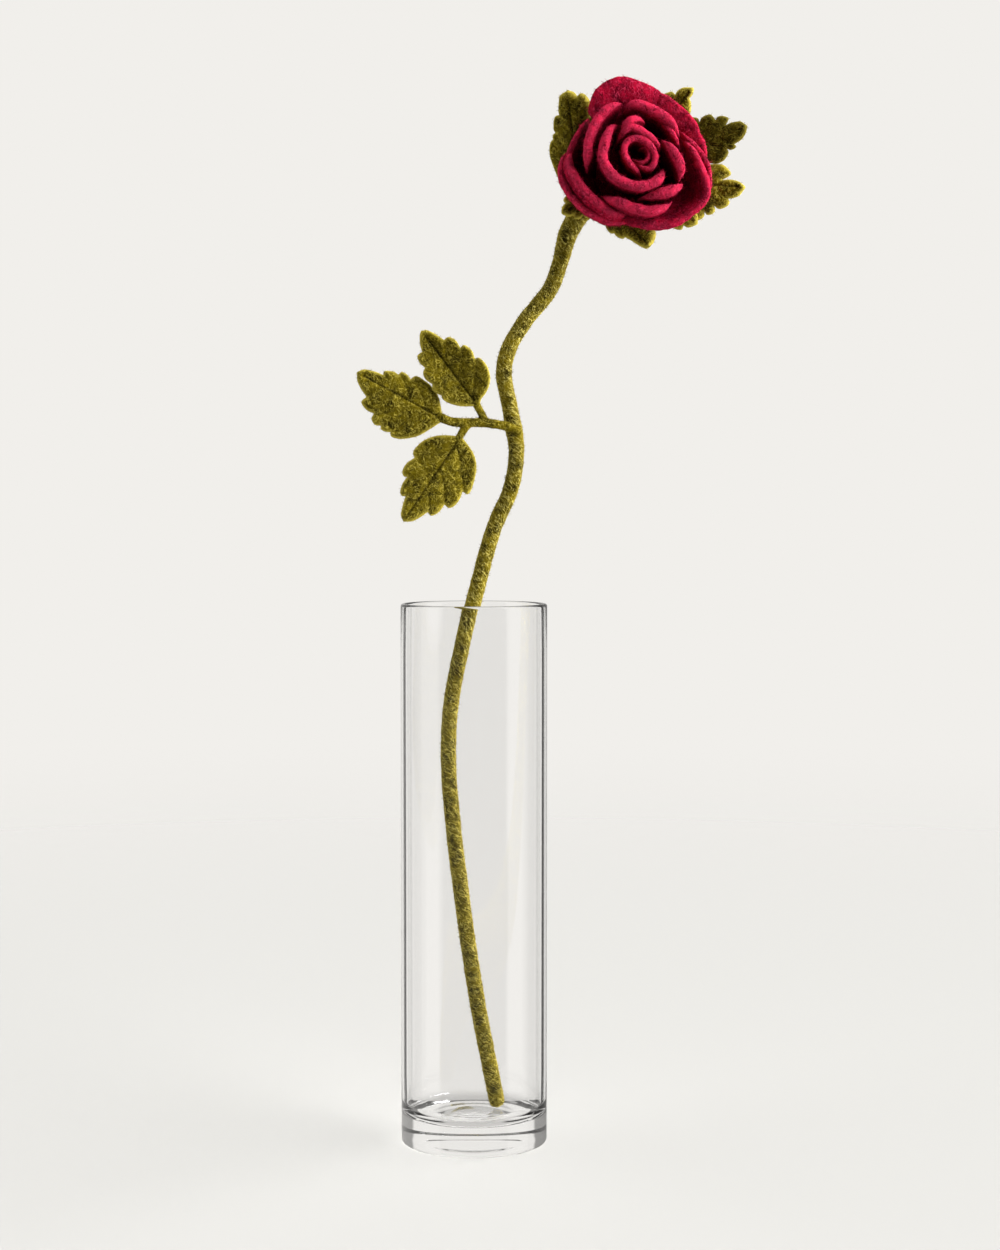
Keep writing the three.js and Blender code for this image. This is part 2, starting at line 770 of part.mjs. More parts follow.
function calyxCup() {
  const start = stemTop + FIT_GAP;
  const joints = CALYX_ROUTE.map((_, i) => distanceTo(spine, STEM_ROUTE.length - 1 + i));
  const radiusAt = (distance) => {
    const after = Math.max(1, joints.findIndex((joint) => joint >= distance - ROUNDING));
    const share = (distance - joints[after - 1]) / (joints[after] - joints[after - 1]);
    return THREE.MathUtils.lerp(CALYX_ROUTE[after - 1][3], CALYX_ROUTE[after][3], share);
  };
  return barAlong(spine, stations(start, joints.at(-1), CALYX.step), radiusAt, CALYX.sides);
}

/** A solid turned about the bloom's axis. Its flat side is at `y`, and faces the viewer if `hand` is 1. */
function onBloomAxis(profile, y, hand) {
  const { centre, rootShift } = BLOOM;
  const geometry = turned(profile, CALYX.sides).rotateX((-hand * Math.PI) / 2);
  geometry.translate(centre.x + rootShift[0], y, centre.z + rootShift[1]);
  return solidOf(geometry);
}

function calyxCollar() {
  const { collarRadius, collarEdge, collarDepth, domeSteps } = CALYX;
  const quarter = arc([0, 0], 1, 0, 90, domeSteps);
  const dome = quarter.map(([x, y]) => [x * collarRadius, collarEdge + y * (collarDepth - collarEdge)]);
  return onBloomAxis([[0, 0], [collarRadius, 0], ...dome], BLOOM.centre.y + BLOOM.depth + FIT_GAP, 1);
}

function calyxWithSepals() {
  return SEPALS.reduce((cup, sepal) => cup.add(blade(sepal)), calyxCup().add(calyxCollar()))
    .subtract(wireRoom())
    .subtract(stemRoom(stemTop - STEM.neckLength))
    .subtract(bloom(FIT_GAP));
}

// ---- Bloom ----

const rootHeight = -BLOOM.depth + PETAL.rootSink;

/** A point of the bloom: an angle, a radius and a height towards the viewer, its axis shifted by `shift`. */
function bloomPoint(angle, radius, height, shift = 0) {
  const [shiftX, shiftZ] = BLOOM.rootShift;
  return new THREE.Vector3(
    BLOOM.centre.x + shiftX * shift + radius * Math.cos(angle),
    BLOOM.centre.y - height,
    BLOOM.centre.z + shiftZ * shift + radius * Math.sin(angle),
  );
}

/** A petal's middle surface: `along` is from 0 to 1 round the rim, and `up` from the root to the rim. */
function petalSurface({ root, belly, rim }) {
  const { degToRad, lerp } = THREE.MathUtils;
  const rimPoints = rim.map(([degrees, radius, height]) => vector([degToRad(degrees), radius, height]));
  const rimCurve = new THREE.CatmullRomCurve3(rimPoints, false, "catmullrom", 0.5);
  return (along, up) => {
    const { x: angle, y: radius, z: height } = rimCurve.getPoint(along);
    const profile = new THREE.CubicBezierCurve(
      new THREE.Vector2(root, rootHeight),
      new THREE.Vector2(lerp(root, radius, PETAL.rootSpread), rootHeight + PETAL.rootLift),
      new THREE.Vector2(radius + belly, lerp(height, rootHeight, PETAL.bellyHeight)),
      new THREE.Vector2(radius, height),
    );
    const { x, y } = profile.getPoint(up);
    return bloomPoint(angle, x, y, 1 - up);
  };
}

/** How thick a petal is at a place on its surface. */
function petalThickness(full, along, up) {
  const { lerp } = THREE.MathUtils;
  const fromEnd = Math.min(along, 1 - along) / PETAL.endTaper;
  const atRim = full * lerp(PETAL.endThickness, 1, Math.min(1, fromEnd));
  return lerp(PETAL.rootThickness, atRim, Math.min(1, up / PETAL.fullAt));
}

/** A thick petal with a rounded rim, grown by `extra` on every side. */
function petal(shape, extra) {
  const surface = petalSurface(shape);
  const columns = shape.rim.length;
  const rings = [];
  for (let column = 0; column <= columns; column += 1) {
    const along = column / columns;
    const before = Math.max(0, along - ROUNDING);
    const after = Math.min(1, along + ROUNDING);
    const inner = [];
    const outer = [];
    const overrun = extra * (Number(column === columns) - Number(column === 0));
    let top;
    for (const up of PETAL.lift) {
      const lower = surface(along, Math.max(0, up - ROUNDING));
      const higher = surface(along, Math.min(1, up + ROUNDING));
      const rise = higher.sub(lower).normalize();
      const round = surface(after, up).sub(surface(before, up)).normalize();
      const normal = round.clone().cross(rise).normalize();
      const middle = surface(along, up).addScaledVector(round, overrun);
      middle.addScaledVector(rise, up === 0 ? -extra : 0);
      const half = petalThickness(shape.thickness, along, up) / 2 + extra;
      inner.push(middle.clone().addScaledVector(normal, half));
      outer.push(middle.clone().addScaledVector(normal, -half));
      top = { middle, half, normal, rise };
    }
    const crest = PETAL.crest.map((degrees) => {
      const turn = THREE.MathUtils.degToRad(degrees);
      return top.middle
        .clone()
        .addScaledVector(top.normal, top.half * Math.cos(turn))
        .addScaledVector(top.rise, top.half * Math.sin(turn));
    });
    rings.push([...inner, ...crest, ...outer.reverse()]);
  }
  return solidOf(skinRings(rings));
}

/** The domed core that every petal grows from, flat where it sits on the calyx. */
function bloomCore(extra) {
  const { coreRadius, coreEdge, coreHeight, coreSteps, depth, centre } = BLOOM;
  const radius = coreRadius + extra;
  const quarter = arc([0, 0], 1, 0, 90, coreSteps);
  const dome = quarter.map(([x, y]) => [x * radius, coreEdge + y * (coreHeight - coreEdge)]);
  return onBloomAxis([[0, -extra], [radius, -extra], ...dome], centre.y + depth, -1);
}

/** The whole bloom, its petals and its back `extra` thicker. */
function bloom(extra) {
  return PETALS.reduce((whole, shape) => whole.add(petal(shape, extra)), bloomCore(extra));
}

// ---- The object ----

const felt = (color) => new THREE.MeshStandardMaterial({ color, roughness: 0.95 });
const steel = new THREE.MeshStandardMaterial({ color: COLOURS.steel, roughness: 0.4, metalness: 1 });
const glass = new THREE.MeshStandardMaterial({
  color: COLOURS.glass,
  roughness: 0.05,
  transparent: true,
  opacity: 0.3,
});

const rose = new THREE.Group();
rose.add(
  meshOf("glass_vase", glassVase(), glass),
  meshOf("stem_wire", wireBar(WIRE.radius, WIRE.footCover, stemTop + WIRE.reach), steel),
  meshOf("wool_stem", largestBody(woolStem()), felt(COLOURS.olive)),
  meshOf("leaf_spray", largestBody(leafSpray()), felt(COLOURS.oliveDark)),
  meshOf("calyx", largestBody(calyxWithSepals()), felt(COLOURS.oliveDark)),
  meshOf("rose_bloom", largestBody(bloom(0)), felt(COLOURS.crimson)),
);

export default rose;
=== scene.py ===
"""The looks of a felted wool rose in a clear glass cylinder vase.

Sizes are in millimetres until a mesh is made, and every piece lies where the CAD has it.
"""

import math

import bpy
import numpy as np
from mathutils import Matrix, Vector, noise
from mathutils.geometry import delaunay_2d_cdt


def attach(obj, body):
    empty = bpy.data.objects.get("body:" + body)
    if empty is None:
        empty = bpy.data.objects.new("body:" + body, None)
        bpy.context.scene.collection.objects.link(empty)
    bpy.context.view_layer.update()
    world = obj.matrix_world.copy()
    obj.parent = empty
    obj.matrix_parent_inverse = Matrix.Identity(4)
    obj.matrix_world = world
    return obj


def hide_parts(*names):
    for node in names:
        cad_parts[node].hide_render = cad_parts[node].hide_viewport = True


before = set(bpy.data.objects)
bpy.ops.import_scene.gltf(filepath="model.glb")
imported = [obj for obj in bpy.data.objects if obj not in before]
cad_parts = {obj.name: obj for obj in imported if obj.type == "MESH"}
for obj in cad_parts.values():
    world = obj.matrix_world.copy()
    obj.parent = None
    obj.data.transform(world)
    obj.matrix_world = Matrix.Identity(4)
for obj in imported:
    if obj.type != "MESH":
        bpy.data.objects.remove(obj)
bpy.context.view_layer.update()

MM = 0.001

# ---- Camera, fitted to the photo: 1.02 m away, 267 mm up and looking 3 degrees down ----

camera_data = bpy.data.cameras.new("camera")
camera_data.sensor_fit = "VERTICAL"
camera_data.sensor_height = 36
camera_data.lens = 71.82
camera_data.clip_start = 0.01
camera = bpy.data.objects.new("camera", camera_data)
camera.location = (0.0107, -1.0193, 0.2666)
camera.rotation_euler = (math.radians(90 - 3), 0, 0)
bpy.context.scene.collection.objects.link(camera)
bpy.context.scene.camera = camera
bpy.context.scene.view_settings.view_transform = "Standard"

# ---- Sizes ----

# They are the CAD's, apart from slight or soft forms: the bevel, the hollow and the rings of the vase's foot,
# how thick the petals are and how far they swell, the ends of some rims, heart_fold and outer_left_edge.
VASE = {"height": 222, "radius": 30, "wall": 2.2, "floor": 11, "fillet": 6.8, "bevel": 1.3, "sides": 256,
        "hollow": (14, 0.6),  # the shallow hollow under its foot: radius and rise
        # slight rings on the inner floor, which ripple what is seen through it: radius and rise
        "rings": ((20.6, 0), (18, 0.05), (15, -0.12), (12, 0.1), (9, -0.1), (6, 0.06), (3, -0.08), (0.5, 0))}

STEM = {"radius": 3.3, "neck": 4.3, "foot": 2.5, "neck_length": 26, "sides": 40, "step": 0.7,
        "joint": (293.5, 4.5, 0.35),  # the swelling at the leaf stalk: its height, spread and depth
        "bumps": ((0.16, 4.5), (0.12, 1.6), (0.07, 0.8)),  # height and width of its lumps
        "vase_shade": (0.42, 30)}  # painted shade, darker in the vase: how much, and over what length from the rim
STEM_ROUTE = [
    (10, 7, 11.8), (6.5, 8.5, 29), (1.5, 10.5, 54), (-2.5, 12.5, 79), (-6, 14.5, 104), (-9, 16.5, 129),
    (-11, 18.5, 154), (-10, 20.5, 179), (-5, 22.2, 204), (1, 23.6, 227), (8, 25.5, 252), (15.5, 26, 270),
    (17.5, 26.5, 285), (15, 27, 302), (12.3, 27.5, 317), (14.3, 28, 327), (21.5, 29, 339.5),
    (31.5, 30, 352), (36, 30.5, 364), (39, 30, 375), (43.5, 28.5, 383),
]

# The calyx goes on from the stem and swells to the back of the bloom: x, y, z, radius.
CALYX_ROUTE = [
    (43.5, 28.5, 383, 4.6), (46.5, 27.3, 386.8, 5.2), (50.5, 25.3, 391, 6.4), (55.5, 22.6, 395.2, 8),
    (60, 19.6, 397.8, 9.6), (62.5, 17.5, 398.6, 10.4),
]

OUTER_PETALS = ("outer_right", "right_wrap", "outer_lower_left", "outer_left_edge", "back_top", "back_right",
                "back_left")
BLOOM = {
    "centre": (66, -14, 403),
    "depth": 28,
    "root_shift": (-2, -4),  # of the roots, in X and Z
    "core": (15, 3, 13),  # the core's radius, the height of its edge and its height
    "collar": (13.5, 1.5, 6.5),  # the same of the calyx's collar behind it
}

# Petals from the heart out: the radius of the root, how far the petal swells outside its rim, its
# thickness, how far it opens flat towards the viewer at the start and the end of its rim, from 0 to 1, and
# the rim as (degrees anticlockwise from +X, radius, height towards the viewer).
PETALS = {
    "heart": (2.6, -0.3, 2.5, (0, 0), [
        (-129, 3.3, -2), (-82, 5.1, -0.5), (-57, 7.5, 0.3), (-36, 7.6, 0.5), (-8, 6.7, 0.5), (25, 5.7, 0.5),
        (64, 5.4, 0.5), (106, 6, 0.5), (144, 6.1, 0.5), (178, 5.5, 0.5), (222, 5.1, 0.3), (256, 6.2, -0.3),
        (273, 7.8, -1.5), (281, 9.5, -4)]),
    "heart_fold": (1.6, -0.3, 1.8, (0, 0), [
        (75, 2.4, -4), (48, 3.2, -1.2), (20, 3.9, -0.5), (-8, 4.3, -0.3), (-35, 4.5, -0.4), (-62, 4.1, -0.8),
        (-90, 3.3, -1.4), (-120, 2.8, -2.4), (-150, 2.4, -5)]),
    "inner_cap": (6, -0.6, 3, (0, 0), [
        (150, 9.6, -4), (138, 9.8, -1), (124, 10.2, 0.5), (107, 10.6, 1), (90, 9.2, 0.6), (67, 8.1, 0.2),
        (38, 8, -0.4), (18, 8.9, -1.5), (8, 9.4, -4)]),
    "cap_fold": (6.5, -0.6, 3.2, (0, 0), [
        (134, 9.8, -3), (123, 11.2, 0), (111, 12.6, 1.2), (98, 13.4, 0.8), (86, 13.5, -0.8),
        (76, 13.2, -3.5)]),
    "inner_cup": (7.5, -1.2, 4, (0, 0), [
        (124, 14.8, -4), (135, 14.8, 0), (149, 14.4, 1), (165, 14.2, 1.5), (180, 14.3, 1.5), (195, 14.3, 1.5),
        (211, 14, 1.5), (228, 13.7, 1.5), (246, 13.4, 1.8), (263, 13.4, 2), (278, 13.6, 2), (294, 13.6, 1.8),
        (308, 13.3, 1.2), (320, 12.5, 0), (332, 11.5, -3)]),
    "inner_right": (8.5, -1.2, 3.7, (0, 0), [
        (33, 11.3, -5), (21, 11.8, -1), (7, 13.3, 0), (-5, 15.1, 0.5), (-14, 17, 0.5), (-22, 18.6, 0.3),
        (-28, 19.5, -0.5), (-33, 20, -4)]),
    "middle_fold": (9.5, -0.6, 2.2, (0, 0), [
        (55, 15.4, -7), (46, 16, -4), (35, 16.1, -3.5), (25, 16.3, -3.5), (16, 16.9, -4.5), (9, 17.9, -8)]),
    "middle_lower_right": (9.5, -1.2, 4.3, (0, 0), [
        (-89, 17.6, -5), (-76, 17.6, -1.5), (-63, 18.2, -0.5), (-53, 19.3, -0.5), (-44, 20.5, -1),
        (-37, 21.5, -2), (-32, 21.8, -5)]),
    "middle_left": (10, -0.8, 3.8, (0, 0), [
        (107, 21.8, -6), (115, 21.6, -3), (126, 21.4, -2), (136, 21, -1.5), (147, 20.6, -1), (159, 20.2, -1),
        (171, 20.1, -1), (182, 20.3, -1.5), (190, 20.7, -2), (197, 21.1, -6)]),
    "middle_top": (10.5, -1.2, 3.8, (0, 0), [
        (108, 18.3, -7), (103, 19.3, -3.5), (95, 19.9, -3), (85, 19.4, -3), (74, 18.7, -3), (63, 18.3, -3),
        (53, 18.1, -3), (42, 18.1, -3), (32, 18.1, -3.5), (22, 18.7, -6)]),
    "middle_lower": (11, 0.5, 4, (0, 0), [
        (-133, 21.7, -7), (-123, 21.3, -3.5), (-113, 20.8, -3), (-102, 21, -3), (-91, 21.8, -3),
        (-81, 22.8, -3), (-71, 23.5, -3), (-62, 23.7, -3.5), (-52, 23.2, -6)]),
    "outer_right": (12, 0, 2.6, (0, 1), [
        (23, 19.1, -9), (12, 20.3, -5), (2, 22.2, -4.5), (-6, 24.5, -4.5), (-14, 27, -5), (-20, 29.5, -5.5),
        (-26, 31.7, -6), (-32, 32.6, -6.5), (-39, 32.6, -7), (-46, 32.1, -7.5), (-54, 31.7, -8),
        (-61, 31.6, -8), (-68, 30.9, -8.5), (-75, 30, -9), (-82, 28.8, -9.5), (-89, 27.6, -10.5),
        (-96, 26.8, -12), (-103, 26, -14), (-110, 25, -17)]),
    "right_wrap": (12.5, 1, 2, (0.5, 0.3), [
        (33, 19.7, -10), (23, 20.4, -6.5), (13, 22.3, -6.5), (5, 24.6, -7), (-2, 26.8, -7), (-9, 28.8, -7.5),
        (-17, 30.7, -8), (-23, 32.2, -9), (-29, 32.9, -12)]),
    "outer_lower_left": (12.5, 4, 3, (0, 0), [
        (172, 26, -17), (179, 26.8, -13.5), (187, 27.2, -10), (195, 26.7, -7.2), (204, 26, -5.8),
        (213, 25.4, -5.5), (222, 24.9, -5.5), (231, 24.6, -5.8), (240, 24.6, -7), (249, 24.4, -9),
        (258, 23.4, -11.5), (267, 22, -14.5)]),
    "outer_left_edge": (13, 1.5, 2.6, (0.15, 0.15), [
        (174, 28.4, -19), (182, 30, -16), (190, 31, -13.6), (198, 31.4, -12.2), (207, 31, -11.6),
        (216, 30.3, -11.5), (226, 29.6, -11.5), (236, 28.9, -12), (246, 28, -13), (256, 26.6, -15),
        (266, 25, -18)]),
    "back_top": (13, 1, 2.8, (1, 1), [
        (136, 26.8, -17), (130, 28.5, -13), (123, 30.2, -12), (116, 31.2, -11.5), (110, 31.4, -11),
        (104, 31.3, -11), (98, 30.8, -11), (91, 29.5, -11), (84, 28.2, -11.5), (76, 27.3, -12),
        (68, 26.4, -13), (59, 25.4, -15)]),
    "back_right": (13.5, 1, 2.6, (0.9, 0.6), [
        (82, 26.2, -17), (74, 26.6, -14), (65, 26.2, -12.2), (51, 25.7, -11.5), (43, 25.9, -11),
        (35, 26.1, -11), (27, 26.2, -11), (20, 26, -11), (13, 26.7, -11), (6, 27.3, -11.5),
        (-1, 27.7, -12), (-9, 28.8, -15)]),
    "back_left": (13.5, 1, 2.6, (0.4, 0.2), [
        (138, 25.4, -20), (149, 25.4, -18.5), (159, 25.6, -17.5), (169, 26.2, -16.5), (179, 27.2, -16),
        (189, 28, -16), (199, 28, -17)]),
}

# A blade's scalloped edge is a list of lobes, from its base to its tip. Each lobe is the points that its
# curve runs through, as (along the midrib, out from it), and ends in the notch where the next one begins.
PLAIN_SEPAL_EDGE = [
    [(0.5, 2.5), (5, 6), (9, 7.3), (11, 6)],
    [(14, 7.8), (18, 7.6), (19.2, 5.7)],
    [(21.5, 6.6), (24, 5.4), (23.8, 3.6)],
    [(26, 3.2), (28, 0.8)],
]

SHORT_SEPAL_EDGE = [
    [(0.5, 2.5), (5, 5.8), (9, 6.4), (10.5, 5)],
    [(12.5, 6.6), (16, 6.6), (17, 5)],
    [(18.5, 5.6), (20.8, 4.6), (20.8, 3)],
    [(23, 2.4), (24.5, 0.8)],
]

# Sepals: base, tip, where the face looks, how far the two halves fall back from the midrib over their
# width, and the left and right edges.
SEPALS = {
    "sepal_left": ((46, 24, 385), (38.4, 9, 431.2), (-0.45, -0.9, 0), 0.25,
        [[(0.5, 2.5), (6, 7.5), (13, 11.2), (18.5, 13), (22.3, 13.8), (25.3, 13.6), (28, 12.6), (29.3, 11)],
         [(30.4, 11), (31.4, 10.5), (32, 9.4)],
         [(33.5, 9.9), (36.4, 9.4), (38.8, 8.1), (39.3, 6)],
         [(41.1, 6.1), (44.6, 5.3), (47.3, 4.2), (49, 0.8)]],
        [[(0.5, 2.5), (6, 7), (12, 10), (18, 11), (23, 10.5), (25, 8.5)],
         [(28.5, 10.5), (33, 10.8), (36.8, 9.3), (37.5, 7.2)],
         [(40, 8.2), (43.5, 8.2), (46.3, 6.9), (47.5, 5), (46.3, 3.3)],
         [(47.3, 3), (48.5, 2), (49, 0.8)]]),
    "sepal_top_right": ((68, 17.5, 406), (89.4, 8, 432.1), (0, -1, 0.2), 0.2,
        [[(0.5, 2.5), (5, 6.5), (9, 8.3), (11.5, 7)],
         [(14.5, 9.5), (19, 9.5), (21.5, 7.3)],
         [(23.7, 8.2), (26.2, 7.7), (28.2, 6.2), (28.4, 4.2)],
         [(30, 4.4), (32.5, 3.5), (34.8, 0.8)]],
        [[(0.5, 2.5), (5, 6.5), (9, 8.3), (11.5, 7)],
         [(14.5, 9.2), (19, 8.8), (22, 6.5), (23, 4.5)],
         [(25, 5.6), (26.8, 5.4), (28.6, 4.3), (30.2, 2.8), (31, 1.5)],
         [(32.8, 1.6), (34.8, 0.8)]]),
    "sepal_right": ((72, 17.5, 402), (111.7, 9, 416.8), (0, -1, 0), 0.15,
        [[(0.5, 2.5), (9, 7.5), (17, 11), (22.5, 12), (25.3, 10.8), (25.6, 9)],
         [(26.8, 10.2), (28.8, 10.6), (31, 10), (32, 7.3)],
         [(33.3, 8.2), (35.5, 7.6), (37.2, 5.8), (35.3, 3.8)],
         [(38, 3.8), (41.3, 2.9), (42.9, 0.8)]],
        [[(0.5, 2.5), (8, 7), (15, 9.5), (20, 9.5), (22.5, 7.2)],
         [(24.3, 8.6), (26.8, 9.6), (29.8, 9.2), (32.3, 7.3), (32.5, 5.6)],
         [(33.6, 6.4), (35.2, 6.5), (36.2, 5.8), (35.8, 4.8)],
         [(39, 4.2), (41.5, 2.6), (42.9, 0.8)]]),
    "sepal_lower_right": ((72, 17.5, 396), (111, 9, 391.9), (0, -1, 0), 0.15,
        [[(0.5, 2.5), (5, 6.3), (9.5, 8), (12, 6.8)],
         [(16, 9.3), (20.5, 9.2), (22.5, 7.5)],
         [(24.8, 8.6), (29.2, 8.9), (31.9, 7.5), (33.6, 5), (30.3, 2.4)],
         [(33.5, 2.9), (37.1, 2.4), (39.8, 0.8)]],
        [[(0.5, 2.5), (8, 8.5), (14, 12.5), (18, 13.7), (19.5, 12.7)],
         [(21, 14.5), (22.8, 14.2), (24.3, 12.7), (24.3, 10.8)],
         [(25.5, 12.1), (27.7, 11.5), (28.6, 9.9), (28.2, 8.2)],
         [(29.5, 9.2), (31.2, 9.2), (33.4, 8), (34.3, 6.5), (33.7, 5)],
         [(35.5, 4.6), (38, 3.4), (39.8, 0.8)]]),
    "sepal_under_right": ((69, 17.5, 393), (91.5, 11, 377.5), (0, -1, 0), 0.15,
        PLAIN_SEPAL_EDGE,
        PLAIN_SEPAL_EDGE),
    "sepal_under": ((54, 21, 388), (72.1, 7, 367.9), (0.35, -1, -0.5), 0.5,
        [[(0.5, 3), (3, 5), (6, 5.8), (7.5, 4.8)],
         [(10, 6.5), (13, 6.5), (14.3, 5)],
         [(16.5, 6.4), (18.7, 6), (19.5, 4.6)],
         [(22, 6), (25, 6), (27.6, 4.7), (29.7, 2.2), (30.2, 0.8)]],
        [[(0.5, 3.5), (2, 6), (4, 6.8), (5.5, 6)],
         [(8, 7.6), (10.8, 7.7), (12.3, 6.6)],
         [(13.5, 6.9), (15.5, 6.6), (17.2, 5.8), (17.8, 4.7)],
         [(22, 3.7), (26.2, 3), (29.3, 2), (30.2, 0.8)]]),
    "sepal_lower_left": ((56, 21, 394), (37.3, 13, 382.5), (-0.2, -1, -0.1), 0.1,
        SHORT_SEPAL_EDGE,
        SHORT_SEPAL_EDGE),
}

# The leaf's three leaflets, in the same way. Where the fold is less than 0, the halves stand forward.
LEAFLETS = {
    "leaflet_end": ((-13.7, 16, 298), (-47.8, 9, 316.5), (0, -1, 0.1), 0.12,
        [[(-0.5, 1.8), (2, 6.3), (5, 11), (9.5, 14.7), (12.5, 16.1), (14.7, 16.3), (15.8, 15)],
         [(18, 15.8), (19.8, 15.7), (20.5, 14.5)],
         [(23, 15.3), (25.3, 13.9), (25.5, 11.5)],
         [(29, 11.6), (32.3, 9.8), (31.5, 6.9)],
         [(35, 5.2), (38, 2.9), (39.3, 0.8)]],
        [[(0.5, 1.9), (2.7, 4.9), (5.7, 8), (9.7, 9.9), (13, 10.6), (17.2, 10.6), (18.7, 8.3)],
         [(20.8, 9.3), (23.3, 9.2), (24, 7.4)],
         [(26, 7.7), (28.3, 6.9), (29.9, 5.8), (29.6, 4.4)],
         [(33.6, 3.8), (37.5, 2.6), (39.3, 0.8)]]),
    "leaflet_upper": ((1.2, 18.5, 303.7), (-21.6, 13, 333.7), (0, -1, 0), -0.35,
        [[(0.4, 1.4), (1.5, 3), (4, 6), (7.5, 8.7), (10.6, 10), (12.4, 9.5)],
         [(14.5, 10.7), (16.8, 10.7), (18.5, 9.7)],
         [(21.7, 10.7), (24.4, 9.9), (25.5, 8)],
         [(28.7, 8.5), (31.3, 7.5), (31.4, 4.9)],
         [(34.1, 3.9), (37, 1.9), (37.9, 0.8)]],
        [[(-0.4, 1.2), (0.9, 2.8), (2, 6.1), (4.2, 9.4), (7.1, 11.6), (11.3, 12.9), (15.2, 12.4),
          (16.1, 10.7)],
         [(19.8, 11.7), (23.2, 10.6), (23.3, 8.6)],
         [(26.9, 8.9), (29.7, 7.4), (29.8, 5.2)],
         [(33.9, 3.8), (37.1, 2.1), (37.9, 0.8)]]),
    "leaflet_lower": ((-5.9, 17, 290.2), (-28.9, 10, 255.7), (0, -1, -0.1), 0.15,
        [[(-0.3, 1.4), (1.2, 6.3), (3.1, 9.8), (6.2, 12.7), (10.9, 14.9), (15.1, 16.1), (17.6, 15.9),
          (17.9, 13.5)],
         [(21.4, 14.3), (25, 13.9), (26.9, 12.5), (26.8, 10.3)],
         [(30.7, 10), (33.7, 8.4), (33.5, 6.1)],
         [(37, 4.8), (40.1, 3.1), (42, 0.8)]],
        [[(0, 0.9), (2.9, 6), (6, 9.5), (9.9, 11.9), (14.2, 12.8), (16.4, 12.4), (17.5, 10.9)],
         [(21.5, 12.3), (24.9, 12), (26.5, 10.4), (26.1, 9)],
         [(29.6, 9), (32.9, 7.9), (33.8, 6.4), (33.1, 5.1)],
         [(36.6, 4.1), (40.6, 2.5), (42, 0.8)]]),
}

STALK = [
    (19.5, 25, 291.5), (16.5, 23.2, 293.6), (10.5, 21.5, 295.5), (2.5, 19.5, 296.3), (-5, 18, 296.3),
    (-10, 17, 296.8), (-16, 15.6, 299.5),
]
TWIG_UP = [(5, 20, 296.3), (3, 19.3, 300), (0, 18, 305.5)]
TWIG_DOWN = [(-2, 18.5, 296), (-4.5, 17.8, 293), (-7.5, 16.4, 288)]

# ---- How the felt is made ----

# A petal's mesh: how far apart its points lie along its rim and how many rows it has up it, how thick it is
# at the root, over what length its ends bend down and how far, how thin and how long its tapering ends are,
# and the height and width of its lumps.
PETAL = {"step": 0.5, "rows": 44, "root_thickness": 1.7, "dive": (7, 3.4), "taper": (0.3, 13),
         "bumps": ((0.24, 4), (0.17, 1.9), (0.12, 1))}

# A pad's mesh: how far apart its points lie, how far in from its edge the rows are that round it, its
# thickness, the width and depth of its midrib and side veins, and its lumps.
PAD = {"step": 0.5, "edge_rows": (0.08, 0.24, 0.48), "thickness": {"leaf_spray": 2.6, "calyx": 3.2},
       "midrib": (0.55, 0.9), "vein": (0.5, 0.45), "bumps": ((0.16, 2.6), (0.1, 1.1))}
PAD_SHADE = {"sepal_right": 0.65}  # painted shade: it lies in the shade of the sepal above it
FUSED_BUMPS = ((0.16, 3), (0.1, 1.2))

# The loose ends of wool on each node: how many, their length and the seed of the random draws.
FUZZ = {"bloom_fuzz": ("rose_bloom", 15000, 2.1, 1), "calyx_fuzz": ("calyx", 6000, 1.7, 2),
        "leaf_fuzz": ("leaf_spray", 6000, 1.6, 3), "stem_fuzz": ("wool_stem", 6000, 1.6, 4)}
FUZZ_RADII = (0.075, 0.055)  # at the root and the middle of a loose end

# ---- Materials ----


def linear(colour):
    """An sRGB hex colour as linear red, green, blue and alpha."""
    channels = [int(colour[i : i + 2], 16) / 255 for i in (1, 3, 5)]
    return (*[c / 12.92 if c <= 0.04045 else ((c + 0.055) / 1.055) ** 2.4 for c in channels], 1)


def add(tree, kind, values=None, links=None, **settings):
    """Adds a node with its settings, the values of its inputs and what feeds them: an output, or a node for
    its first output."""
    node = tree.nodes.new(kind)
    for key, value in settings.items():
        setattr(node, key, value)
    for key, value in (values or {}).items():
        node.inputs[key].default_value = value
    for key, source in (links or {}).items():
        tree.links.new(getattr(source, "outputs", [source])[0], node.inputs[key])
    return node


def new_material(name):
    material = bpy.data.materials.new(name)
    material.use_nodes = True
    material.node_tree.nodes.clear()
    return material, material.node_tree


